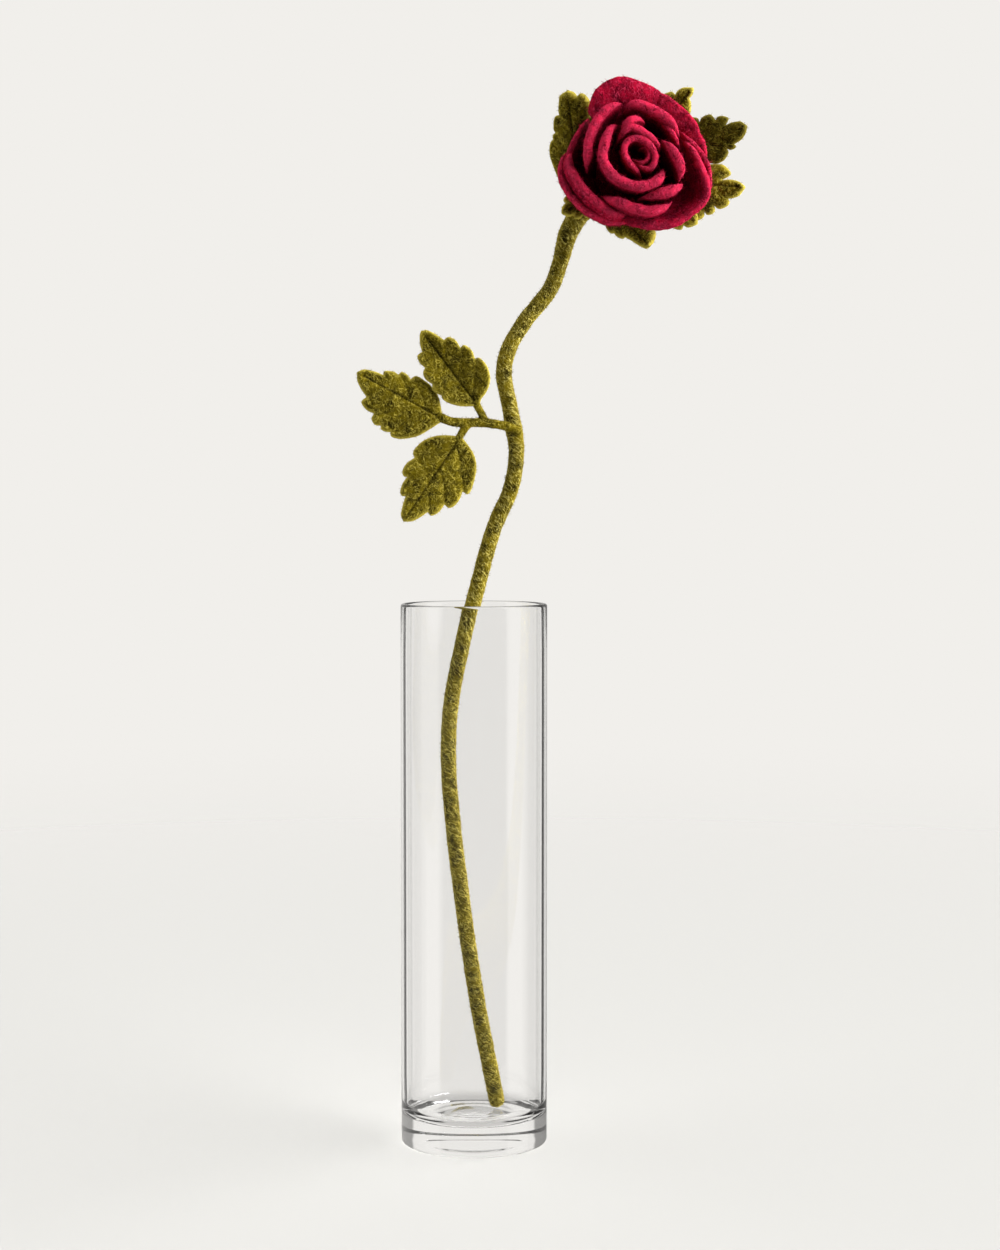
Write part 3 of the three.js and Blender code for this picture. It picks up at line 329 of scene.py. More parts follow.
def felted_wool(name, deep, body, light, sheen_tint, sheen, shares, wrapped=False):
    """Needle-felted wool: matt, with curled strands that lie side by side, some light and some dark, and a
    soft bright sheen where the surface turns away. Real fibres are 0.03 mm thick; the strands are drawn about
    0.4 mm thick, so that they show."""
    material, tree = new_material(name)
    place = add(tree, "ShaderNodeTexCoord")
    in_mm = add(tree, "ShaderNodeVectorMath", {1: (1000, 1000, 1000)}, {0: place.outputs["Object"]},
                operation="MULTIPLY")
    fibre_space = in_mm
    if wrapped:  # fibres lie slantwise round the stem: the map is in millimetres round and along it
        fibre_space = add(tree, "ShaderNodeMapping",
                          {"Rotation": (0, 0, math.radians(55)), "Scale": (0.6, 1.5, 1)},
                          {"Vector": place.outputs["UV"]}, vector_type="TEXTURE")
    patches = add(tree, "ShaderNodeTexNoise", {"Scale": 0.22, "Detail": 3, "Roughness": 0.6},
                  {"Vector": in_mm})
    shade = add(tree, "ShaderNodeMapRange", {1: 0.34, 2: 0.62}, {0: patches})
    colour = add(tree, "ShaderNodeMix", {6: linear(deep), 7: linear(body)}, {0: shade},
                 data_type="RGBA").outputs[2]
    # Painted highlight: this attribute lightens the wool towards its light colour on pad edges, petal crests
    # and the loose ends.
    edges = add(tree, "ShaderNodeAttribute", attribute_name="rim").outputs["Fac"]
    colour = add(tree, "ShaderNodeMix", {7: linear(light)}, {0: edges, 6: colour},
                 data_type="RGBA").outputs[2]
    height = None
    # flow per millimetre, place in the noise, strands in each turn of the flow, where a strand's side begins,
    # its colour, and whether it lies above or below the rest
    layers = ((0.3, 0, 5, 0.3, deep, -1), (0.34, 31, 5, 0.32, light, 1), (0.5, 77, 3, 0.36, light, 1))
    for (scale, shift, lines, edge, tone, lift), share in zip(layers, shares):
        moved = add(tree, "ShaderNodeVectorMath", {1: (shift, shift, shift)}, {0: fibre_space})
        flow = add(tree, "ShaderNodeTexNoise",
                   {"Scale": scale, "Detail": 1, "Roughness": 0.5, "Distortion": 0.6}, {"Vector": moved})
        many = add(tree, "ShaderNodeMath", {1: lines}, {0: flow}, operation="MULTIPLY")
        folded = add(tree, "ShaderNodeMath", {1: 0.5}, {0: many}, operation="PINGPONG")
        strand = add(tree, "ShaderNodeMapRange", {1: edge, 2: 0.5}, {0: folded},
                     interpolation_type="SMOOTHSTEP")
        comes = add(tree, "ShaderNodeTexNoise", {"Scale": 0.45, "Detail": 1}, {"Vector": moved})
        comes = add(tree, "ShaderNodeMapRange", {1: 0.42, 2: 0.6, 3: 0.15 * share, 4: share}, {0: comes})
        amount = add(tree, "ShaderNodeMath", None, {0: strand, 1: comes}, operation="MULTIPLY")
        colour = add(tree, "ShaderNodeMix", {7: linear(tone)}, {0: amount, 6: colour},
                     data_type="RGBA").outputs[2]
        step = add(tree, "ShaderNodeMath", {1: lift}, {0: amount}, operation="MULTIPLY")
        height = step if height is None else add(tree, "ShaderNodeMath", None, {0: height, 1: step})
    # Painted shade: this attribute darkens the wool towards near black in vein creases, between petals, near
    # the bloom and in the vase.
    pressed = add(tree, "ShaderNodeAttribute", attribute_name="pressed").outputs["Fac"]
    shadow = add(tree, "ShaderNodeMix", {7: (0.02, 0.015, 0.01, 1)}, {0: pressed, 6: colour},
                 data_type="RGBA", blend_type="MULTIPLY").outputs[2]
    bump = add(tree, "ShaderNodeBump", {"Strength": 1, "Distance": 0.0004}, {"Height": height})
    wool = add(tree, "ShaderNodeBsdfPrincipled",
               {"Roughness": 0.92, "Specular IOR Level": 0.02, "Sheen Weight": sheen, "Sheen Roughness": 0.4,
                "Sheen Tint": linear(sheen_tint)},
               {"Base Color": shadow, "Normal": bump})
    add(tree, "ShaderNodeOutputMaterial", None, {"Surface": wool})
    return material


crimson_wool = felted_wool("crimson_merino_wool_needle_felted", "#4c0010", "#a00628", "#dc3c60", "#cc1c44",
                           0.22, (0.75, 0.55, 0.4))
olive_wool = felted_wool("olive_wool_needle_felted", "#221d02", "#5e520a", "#bcac48", "#bcaa3c", 0.6,
                         (0.8, 0.55, 0.55))
wound_wool = felted_wool("olive_wool_wound_and_felted", "#1a1500", "#60530c", "#dccc6c", "#e0cc5c", 0.95,
                         (0.85, 0.62, 0.6), wrapped=True)

# Clear soda-lime glass, blown or pressed and fire-polished: no colour of its own, seen by its dark and
# bright edges.
clear_glass, glass_tree = new_material("soda_lime_glass_fire_polished")
glass = add(glass_tree, "ShaderNodeBsdfPrincipled",
            {"Base Color": (1, 1, 1, 1), "Roughness": 0, "IOR": 1.5, "Transmission Weight": 1})
add(glass_tree, "ShaderNodeOutputMaterial", None, {"Surface": glass})

# Drawn steel wire: fine lines along it from the die.
drawn_steel, steel_tree = new_material("steel_wire_cold_drawn")
steel_place = add(steel_tree, "ShaderNodeTexCoord")
steel_lines = add(steel_tree, "ShaderNodeMapping", {"Scale": (9000, 9000, 60)},
                  {"Vector": steel_place.outputs["Object"]})
steel_grain = add(steel_tree, "ShaderNodeTexNoise", {"Scale": 1, "Detail": 2}, {"Vector": steel_lines})
steel_rough = add(steel_tree, "ShaderNodeMapRange", {3: 0.28, 4: 0.45}, {0: steel_grain})
steel = add(steel_tree, "ShaderNodeBsdfPrincipled", {"Base Color": linear("#a7a9ab"), "Metallic": 1},
            {"Roughness": steel_rough})
add(steel_tree, "ShaderNodeOutputMaterial", None, {"Surface": steel})

# ---- Shape helpers ----


def unit(vectors):
    return vectors / np.maximum(np.linalg.norm(vectors, axis=-1, keepdims=True), 1e-9)


def spline(points, at, centripetal=False):
    """Points on the smooth curve through `points`, at shares of its spans from 0 to 1."""
    p = np.array(points, float)
    spans = len(p) - 1
    place = np.clip(np.asarray(at, float), 0, 1) * spans
    first = np.minimum(place.astype(int), spans - 1)
    w = (place - first)[:, None]
    padded = np.vstack([2 * p[0] - p[1], p, 2 * p[-1] - p[-2]])
    x0, x1, x2, x3 = (padded[first + k] for k in range(4))
    if centripetal:
        d0, d1, d2 = (np.linalg.norm(b - a, axis=1, keepdims=True) ** 0.5
                      for a, b in ((x0, x1), (x1, x2), (x2, x3)))
        leave = ((x1 - x0) / d0 - (x2 - x0) / (d0 + d1) + (x2 - x1) / d1) * d1
        arrive = ((x2 - x1) / d1 - (x3 - x1) / (d1 + d2) + (x3 - x2) / d2) * d1
    else:
        leave, arrive = (x2 - x0) / 2, (x3 - x1) / 2
    square, cube = 3 * (x2 - x1) - 2 * leave - arrive, 2 * (x1 - x2) + leave + arrive
    return x1 + leave * w + square * w**2 + cube * w**3


def walk(points, step):
    """Even points along the curve, about `step` apart, and how far along each one is."""
    fine = spline(points, np.linspace(0, 1, 4000), centripetal=True)
    run = np.concatenate([[0], np.cumsum(np.linalg.norm(np.diff(fine, axis=0), axis=1))])
    distance = np.linspace(0, run[-1], math.ceil(run[-1] / step) + 1)
    return np.stack([np.interp(distance, run, fine[:, k]) for k in range(3)], 1), distance


def lumps(points, size, seed):
    """Smooth noise from -1 to 1 at each point, with lumps about `size` millimetres across."""
    offset = Vector((17.3, 5.1, 9.7)) * seed
    flat = points.reshape(-1, 3) / size
    return np.array([noise.noise(Vector(p) + offset) for p in flat.tolist()]).reshape(points.shape[:-1])


def lumpy(points, bumps, seed, step=1):
    """How far a skin stands out at each point, from lumps of several heights and widths."""
    return sum(rise * lumps(points, size, seed + k * step) for k, (rise, size) in enumerate(bumps))


def round_turn(sides):
    return np.linspace(0, 2 * math.pi, sides, endpoint=False)


def rounded_end(share):
    """A rounded end's radius at each share of its length, over the full radius."""
    return np.sqrt(np.clip(1 - np.clip(1 - share, 0, 1) ** 2, 0.02, 1))


def tube(centres, radii, sides):
    """Rings of points round a line, and the way out at each point. No line here runs along Y."""
    tangent = unit(np.gradient(centres, axis=0))
    aside = unit(np.cross(tangent, (0, 1, 0)))
    above = np.cross(tangent, aside)
    angle = round_turn(sides)[None, :, None]
    out = aside[:, None] * np.cos(angle) + above[:, None] * np.sin(angle)
    return centres[:, None] + radii[:, None, None] * out, out


def ring_faces(rows, around):
    """Quads between closed rings of points."""
    row, k = np.meshgrid(np.arange(rows - 1), np.arange(around), indexing="ij")
    a = (row * around + k).ravel()
    b = (row * around + (k + 1) % around).ravel()
    return np.stack([a, b, b + around, a + around], 1).tolist()


def tube_faces(rows, around):
    last = (rows - 1) * around
    return [*ring_faces(rows, around), list(range(around))[::-1], list(range(last, last + around))]


def values_of(items, what, width=1, kind=np.int32):
    """What each item of a mesh has, or `width` values of each, in one row."""
    values = np.zeros(len(items) * width, kind)
    items.foreach_get(what, values)
    return values


SKINS = {}  # the names of the pieces made for each node


def piece(name, points, faces, material, node, **shades):
    """A shown piece of the object, from points in millimetres, with its shades point by point."""
    mesh = bpy.data.meshes.new(name)
    mesh.from_pydata((np.asarray(points).reshape(-1, 3) * MM).tolist(), [], faces)
    mesh.validate()
    mesh.polygons.foreach_set("use_smooth", np.ones(len(mesh.polygons), bool))
    mesh.materials.append(material)
    for kind, amounts in shades.items():
        values = np.asarray(amounts, np.float32).ravel()
        mesh.attributes.new(kind, "FLOAT", "POINT").data.foreach_set("value", values)
    shown = bpy.data.objects.new(name, mesh)
    bpy.context.scene.collection.objects.link(shown)
    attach(shown, "root")
    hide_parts(node)
    SKINS.setdefault(node, []).append(name)
    return shown


def turned_out(points, faces):
    """The faces of a closed skin, turned so that they look out."""
    p = np.asarray(points).reshape(-1, 3)
    volume = sum(np.dot(p[f[0]], np.cross(p[f[k]], p[f[k + 1]]))
                 for f in faces for k in range(1, len(f) - 1))
    return faces if volume > 0 else [f[::-1] for f in faces]


# ---- Glass vase ----


def arc(centre, radius, start, end, steps):
    turn = np.radians(np.linspace(start, end, steps + 1))
    return [(centre[0] + radius * math.cos(t), centre[1] + radius * math.sin(t)) for t in turn]


def glass_vase():
    height, radius, wall, floor = VASE["height"], VASE["radius"], VASE["wall"], VASE["floor"]
    inside, lip, fillet, bevel = radius - wall, wall / 2, VASE["fillet"], VASE["bevel"]
    hollow, rise = VASE["hollow"]
    profile = [
        (0.5, rise), (hollow * 0.5, rise), (hollow * 0.88, rise * 0.9), (hollow * 0.97, rise * 0.5),
        (hollow + 0.8, 0), (20, 0), (24, 0),
        *arc((radius - bevel, bevel), bevel, -90, 0, 12),
        (radius, 20), (radius, 100), (radius, height - 20),
        *arc((radius - lip, height - lip), lip, 0, 180, 20),
        (inside, height - 20), (inside, 100), (inside, 30),
        *arc((inside - fillet, floor + fillet), fillet, 0, -90, 24),
        *[(r, floor + lift) for r, lift in spline(VASE["rings"], np.linspace(0, 1, 48))],
    ]
    turn = round_turn(VASE["sides"])
    points = np.array([[(r * math.cos(t), r * math.sin(t), z) for t in turn] for r, z in profile])
    faces = turned_out(points, tube_faces(len(profile), VASE["sides"]))
    return piece("vase", points, faces, clear_glass, "glass_vase")


glass_vase().visible_shadow = False  # light goes through to the stem and the floor

# ---- Stem ----

spine, spine_run = walk([*STEM_ROUTE, *[p[:3] for p in CALYX_ROUTE[1:]]], STEM["step"])
stem_end = int(np.argmin(np.linalg.norm(spine - np.array(STEM_ROUTE[-1]), axis=1)))
stem_top = spine_run[stem_end]


def wool_stem():
    centres, run = spine[: stem_end + 3], spine_run[: stem_end + 3]
    foot = rounded_end(run / STEM["foot"])
    swell = np.clip((run - stem_top + STEM["neck_length"]) / STEM["neck_length"], 0, 1)
    swell = swell * swell * (3 - 2 * swell)
    radii = (STEM["radius"] + (STEM["neck"] - STEM["radius"]) * swell) * foot
    joint_height, spread, depth = STEM["joint"]
    radii = radii + depth * np.exp(-(((centres[:, 2] - joint_height) / spread) ** 2))
    points, out = tube(centres, radii, STEM["sides"])
    points = points + out * (lumpy(points, STEM["bumps"], 1) * foot[:, None])[..., None]
    faces = tube_faces(len(points), STEM["sides"])
    shade, shade_length = STEM["vase_shade"]
    # Painted shade: the wool is darkened below the vase's rim, as if the glass took some of the light.
    painted_vase_shade = shade * np.clip((VASE["height"] - points[..., 2]) / shade_length, 0, 1)
    stem = piece("stem", points, turned_out(points, faces), wound_wool, "wool_stem", pressed=painted_vase_shade)
    around = 2 * math.pi * STEM["radius"]
    mesh = stem.data
    uv = mesh.uv_layers.new(name="wool_wrap")
    ring, side = np.divmod(np.arange(len(mesh.vertices)), STEM["sides"])
    corners = values_of(mesh.loops, "vertex_index")
    share = side[corners] / STEM["sides"]
    starts, totals = values_of(mesh.polygons, "loop_start"), values_of(mesh.polygons, "loop_total")
    for start, total in zip(starts, totals):
        if total == 4 and share[start : start + total].max() > 0.9:
            wrap = share[start : start + total]
            wrap[wrap < 0.1] += 1
    uv.data.foreach_set("uv", np.stack([share * around, run[ring[corners]]], 1).ravel())


wool_stem()

# ---- Bloom ----


def on_bloom(angle, radius, height, shift):
    cx, cy, cz = BLOOM["centre"]
    sx, sz = BLOOM["root_shift"]
    return np.stack([cx + sx * shift + radius * np.cos(angle), cy - height + 0 * angle,
                     cz + sz * shift + radius * np.sin(angle)], -1)


def petal(name, root, belly, thickness, opening, rim, seed):
    """A thick felt petal with a rounded rim and rounded ends."""
    rim = np.array([(math.radians(a), r, h) for a, r, h in rim])
    probe = spline(rim, np.linspace(0, 1, 400))
    rim_points = on_bloom(probe[:, 0], probe[:, 1], probe[:, 2], 0)
    length = np.linalg.norm(np.diff(rim_points, axis=0), axis=1).sum()
    columns = math.ceil(length / PETAL["step"])
    even = np.linspace(0, 1, columns + 1)
    along = (1 - np.cos(math.pi * even)) / 2 * 0.25 + even * 0.75  # a little closer together at the ends
    angle, radius, height = (v[:, None] for v in spline(rim, along).T)
    up = np.linspace(0, 1, PETAL["rows"])[None, :] ** 0.8
    low = -BLOOM["depth"] + 2
    height = height + 0.35 * lumps(on_bloom(angle, radius, height, 0), 9, seed)
    radius = radius + 0.3 * lumps(on_bloom(angle, radius, height, 0), 7, seed + 0.5)
    from_end = np.minimum(along, 1 - along)[:, None] * length
    dive_length, dive_depth = PETAL["dive"]
    height = height - dive_depth * (1 - np.clip(from_end / dive_length, 0, 1)) ** 2
    b0, b1, b2, b3 = (1 - up) ** 3, 3 * up * (1 - up) ** 2, 3 * up**2 * (1 - up), up**3
    opened = opening[0] + (opening[1] - opening[0]) * along[:, None]
    spread = (radius - root) * (0.75 - 0.4 * opened)
    lifted = 2.5 + 7.5 * opened
    swell = belly * (1 - opened) - 7 * opened
    fall = (low - height) * 0.45 * (1 - opened) + 0.5 * opened
    r = b0 * root + b1 * (root + spread) + b2 * (radius + swell) + b3 * radius
    h = b0 * low + b1 * (low + lifted) + b2 * (height + fall) + b3 * height
    middle = on_bloom(angle + 0 * up, r, h, 1 - up)
    round_way = unit(np.gradient(middle, axis=0))
    rise = unit(np.gradient(middle, axis=1))
    normal = unit(np.cross(round_way, rise))
    ends = np.clip(from_end / (2 * thickness), 0, 1)
    ends = 0.04 + 0.96 * np.sqrt(1 - (1 - ends) ** 2)
    thinnest, taper_length = PETAL["taper"]
    taper = np.minimum(1, thinnest + from_end / taper_length)
    root_thickness = PETAL["root_thickness"]
    full = root_thickness + (thickness * taper - root_thickness) * np.minimum(1, up * 1.3)
    half = full / 2 * ends
    inner = middle + normal * half[..., None]
    outer = middle - normal * half[..., None]
    turn = np.radians(np.linspace(0, 180, 10)[1:-1])[None, :, None]
    crest_out = normal[:, -1:] * np.cos(turn) + rise[:, -1:] * np.sin(turn)
    crest = middle[:, -1:] + crest_out * half[:, -1:, None]
    points = np.concatenate([inner, crest, outer[:, ::-1]], 1)
    out = np.concatenate([normal, crest_out, -normal[:, ::-1]], 1)
    fade = np.concatenate([ends + 0 * up, ends + 0 * turn[..., 0], ends + 0 * up], 1)
    points = points + out * (lumpy(points, PETAL["bumps"], seed + 1) * fade)[..., None]
    around = points.shape[1]
    faces = ring_faces(len(points), around)
    last = (len(points) - 1) * around
    for k in range(around // 2 - 1):
        a, b, c, d = k, k + 1, around - 2 - k, around - 1 - k
        faces.append([a, d, c, b])
        faces.append([last + a, last + b, last + c, last + d])
    # Painted shade darkens the wool down between the petals, and a painted highlight lightens their crests.
    below = height - h
    facing_in = np.clip((below - 1.6) / 6, 0, 1) * (1 - 0.7 * opened) * (0.6 if name in OUTER_PETALS else 1)
    if name == "back_left":  # painted shade all over: it lies deep in the shade of the petals in front of it
        facing_in = np.full_like(facing_in, 0.85)
    facing_out = np.clip((below - 2) / 6, 0, 1) * (name not in OUTER_PETALS)
    hand = 1 if np.mean((inner[:, -4] - middle[:, -4]) * (middle[:, -4] - on_bloom(0, 0, 0, 0))) < 0 else -1
    first, second = (facing_in, facing_out) if hand > 0 else (facing_out, facing_in)
    painted_gap_shade = np.concatenate([first, 0 * turn[..., 0] + 0 * first[:, :1], second[:, ::-1]], 1)
    # Painted highlight along the crest, less where the petal opens.
    near_crest = 0.28 * (1 - 0.8 * opened) * np.exp(-((np.clip(below - 0.2, 0, 50) / 1.1) ** 2))
    crest_light = np.concatenate([near_crest, 0 * turn[..., 0] + near_crest[:, -1:], near_crest[:, ::-1]], 1)
    piece("petal_" + name, points, turned_out(points, faces), crimson_wool, "rose_bloom",
          pressed=0.9 * painted_gap_shade, rim=crest_light)


def turned_on_bloom(size, hand, flat_shares, steps, sides):
    """A solid turned about the bloom's axis, flat at its back and domed towards the viewer, or away."""
    radius, edge, top = size
    rings = [(share * radius, 0) for share in flat_shares]
    rings += [(radius * math.cos(t), edge + (top - edge) * math.sin(t))
              for t in np.linspace(0, 0.495 * math.pi, steps)]
    angle = round_turn(sides)[None]
    r, h = np.array(rings).T[..., None]
    return on_bloom(angle, r, hand * h - BLOOM["depth"], 1), tube_faces(len(rings), sides)


def bloom_core():
    points, faces = turned_on_bloom(BLOOM["core"], 1, (0.02, 0.35, 0.7, 0.97), 22, 96)
    centre = points.reshape(-1, 3).mean(0)
    points = points + unit(points - centre) * (0.2 * lumps(points, 3, 5))[..., None]
    piece("bloom_core", points, turned_out(points, faces), crimson_wool, "rose_bloom")


for number, (name, shape) in enumerate(PETALS.items()):
    petal(name, *shape, 10 + 7 * number)
bloom_core()

# ---- Pads: leaflets and sepals ----


def scalloped(lobes, step=0.35):
    """Points along a blade's edge: a smooth curve through each lobe, with a corner at each notch."""
    points, start = [], []
    for lobe in lobes:
        run = start + list(lobe)
        length = sum(math.dist(a, b) for a, b in zip(run, run[1:]))
        points.append(spline(run, np.linspace(0, 1, math.ceil(length / step) + 1)[:-1]))
        start = [lobe[-1]]
    return np.vstack([*points, [lobes[-1][-1]]])


def distance_to(points, line):
    """How far each point is from a line of straight spans, all in the plane."""
    best = np.full(len(points), 1e9)
    for a, b in zip(line[:-1], line[1:]):
        span = b - a
        t = np.clip(((points - a) @ span) / max(span @ span, 1e-12), 0, 1)
        best = np.minimum(best, np.linalg.norm(points - a - t[:, None] * span, axis=1))
    return best


def inside(points, loop):
    x, y = points[:, 0], points[:, 1]
    result = np.zeros(len(points), bool)
    for (x0, y0), (x1, y1) in zip(loop, np.roll(loop, -1, axis=0)):
        crosses = (y0 > y) != (y1 > y)
        result ^= crosses & (x < (x1 - x0) * (y - y0) / (y1 - y0 + 1e-12) + x0)
    return result


def pad(name, shape, node, seed):
    """A scalloped felt pad with a rounded edge and a sunken midrib and side veins, with painted shade and
    highlight.
    """
    base, tip, face, fold, left, right = shape
    thick, grain = PAD["thickness"][node], PAD["step"]
    start = np.array(base, float)
    along = np.array(tip, float) - start
    length = np.linalg.norm(along)
    along = along / length
    out = unit(np.array(face, float) - np.dot(face, along) * along)
    across = np.cross(out, along)
    left_edge, right_edge = scalloped(left), scalloped(right)
    right_edge[:, 1] *= -1
    outline = np.vstack([left_edge, [(left_edge[-1, 0] + 0.5, 0)], right_edge[::-1]])
    closed = np.vstack([outline, outline[:1]])

    veins = [(np.array([(0, 0), (length * 0.93, 0)]), *PAD["midrib"])]
    for edge, hand in ((left, 1), (right, -1)):
        for lobe in edge[:-1]:
            reach = np.array(lobe[-2]) * (1, 0.86 * hand)
            root = np.array((max(1.5, reach[0] - abs(reach[1]) * 1.05), 0))
            bow = (root + reach) / 2 + np.array((-0.9, hand * 0.7))
            t = np.linspace(0, 1, 8)[:, None]
            veins.append(((1 - t) ** 2 * root + 2 * t * (1 - t) * bow + t**2 * reach, *PAD["vein"]))

    low, high = outline.min(0), outline.max(0)
    gx, gy = np.meshgrid(np.arange(low[0], high[0], grain), np.arange(low[1], high[1], grain * 0.87))
    gx = gx + (np.arange(gx.shape[0]) % 2)[:, None] * grain / 2
    grid = np.stack([gx.ravel(), gy.ravel()], 1)
    grid = grid[inside(grid, outline)]
    grid = grid[distance_to(grid, closed) > 0.8]
    tangent = unit(np.roll(outline, -1, axis=0) - np.roll(outline, 1, axis=0))
    inward = np.stack([tangent[:, 1], -tangent[:, 0]], 1)
    if not inside(outline[5:6] + inward[5:6] * 0.2, outline)[0]:
        inward = -inward
    rows = [grid]
    for offset in PAD["edge_rows"]:
        row = outline + inward * offset
        row = row[inside(row, outline)]
        rows.append(row[distance_to(row, closed) > 0.85 * offset])
    flat = np.vstack([outline, *rows])
    flat, _, faces, _, _, _ = delaunay_2d_cdt(
        [Vector(p) for p in flat.tolist()], [], [list(range(len(outline)))], 1, 1e-5)
    flat = np.array([tuple(p) for p in flat])
    faces = [list(f) for f in faces]

    edge_distance = distance_to(flat, closed)
    on_edge = edge_distance < 1e-4
    rounding = 0.6 * thick
    half = thick / 2 * np.sqrt(1 - (1 - np.clip(edge_distance / rounding, 0, 1)) ** 2)
    groove = np.zeros(len(flat))
    for line, width, depth in veins:
        groove = np.maximum(groove, depth * np.exp(-((distance_to(flat, line) / width) ** 2)))
    away = np.min([distance_to(flat, line) for line, _, _ in veins], axis=0)
    puff = 0.6 * (1 - np.exp(-((away / 2) ** 2))) * np.clip(edge_distance / 2, 0, 1)
    soft_width = np.sqrt(flat[:, 1] ** 2 + 0.35**2) - 0.35
    middle = -fold * soft_width

    def side(hand, lift):
        height = middle + hand * lift
        points = start + flat[:, :1] * along + flat[:, 1:] * across + height[:, None] * out
        rough = lumpy(points, PAD["bumps"], seed + hand, hand)
        return points + (hand * rough * np.clip(half / 0.8, 0, 1))[:, None] * out

    front = side(1, half * (1 - 0.62 * groove) + puff)
    back = side(-1, half + 0.25 * groove * (half > 0.6))
    count = len(flat)
    other = np.where(on_edge, np.arange(count), np.arange(count) + count)
    points = np.vstack([front, back])
    all_faces = faces + [[int(other[i]) for i in f[::-1]] for f in faces]
    # Painted shade on the front side only: darker in the vein creases, near the middle of the bloom, which
    # shades the pad, and on the pads in PAD_SHADE.
    cx, _, cz = BLOOM["centre"]
    from_bloom = np.hypot(points[:count, 0] - cx, points[:count, 2] - cz)
    painted_bloom_shade = np.maximum(np.clip((31 - from_bloom) / 7, 0, 0.7), PAD_SHADE.get(name, 0))
    pressed = np.concatenate([np.maximum(groove**2, painted_bloom_shade), np.zeros(count)])
    # Painted highlight: lighter along the edge, on both sides.
    rim = np.tile(0.75 * np.exp(-((edge_distance / 0.7) ** 2)), 2)
    used = np.unique(np.array([i for f in all_faces for i in f]))
    renumber = np.full(len(points), -1)
    renumber[used] = np.arange(len(used))
    all_faces = [[int(renumber[i]) for i in f] for f in all_faces]
    points, pressed, rim = points[used], pressed[used], rim[used]
    piece(name, points, turned_out(points, all_faces), olive_wool, node, pressed=pressed, rim=rim)


for number, (name, shape) in enumerate(LEAFLETS.items()):
    pad(name, shape, "leaf_spray", 200 + 9 * number)
for number, (name, shape) in enumerate(SEPALS.items()):
    pad(name, shape, "calyx", 300 + 9 * number)

# ---- Leaf stalk and calyx cup, each fused from its parts ----


def fused(name, shells, voxel, smoothing, node, seed):
    """One skin round several closed ones, with soft joints between them."""
    points, faces = [], []
    for shell_points, shell_faces in shells:
        start = sum(len(p) for p in points)
        points.append(shell_points.reshape(-1, 3))
        faces += [[i + start for i in f] for f in turned_out(shell_points, shell_faces)]
    made = piece(name, np.vstack(points), faces, olive_wool, node)
    remesh = made.modifiers.new("fuse", "REMESH")
    remesh.mode = "VOXEL"
    remesh.voxel_size = voxel * MM
    smooth = made.modifiers.new("smooth", "SMOOTH")
    smooth.iterations = smoothing
    bpy.context.view_layer.update()
    result = bpy.data.meshes.new_from_object(made.evaluated_get(bpy.context.evaluated_depsgraph_get()))
    made.modifiers.clear()
    made.data = result
    place = values_of(result.vertices, "co", 3, float).reshape(-1, 3) / MM
    normal = values_of(result.vertex_normals, "vector", 3, float).reshape(-1, 3)
    rough = lumpy(place, FUSED_BUMPS, seed)
    result.vertices.foreach_set("co", ((place + normal * rough[:, None]) * MM).ravel())
    result.polygons.foreach_set("use_smooth", np.ones(len(result.polygons), bool))


def stalk(points, radius):
    centres, run = walk(points, 0.5)
    end = np.minimum(run, run[-1] - run)
    rings, _ = tube(centres, radius * rounded_end(end / radius), 20)
    return rings, tube_faces(len(rings), 20)


stalks = [stalk(STALK, 1.9), stalk(TWIG_UP, 1.6), stalk(TWIG_DOWN, 1.6)]
fused("leaf_stalk", stalks, 0.35, 4, "leaf_spray", 400)


def calyx_cup():
    joints = [spine_run[int(np.argmin(np.linalg.norm(spine - np.array(p[:3]), axis=1)))] for p in CALYX_ROUTE]
    radii = np.interp(spine_run[stem_end:], joints, [p[3] for p in CALYX_ROUTE])
    rings, _ = tube(spine[stem_end:], radii, 48)
    return rings, tube_faces(len(rings), 48)


collar = turned_on_bloom(BLOOM["collar"], -1, (0.02, 0.5, 0.97), 12, 64)
fused("calyx_cup", [calyx_cup(), collar], 0.5, 6, "calyx", 420)

# ---- Fuzz ----


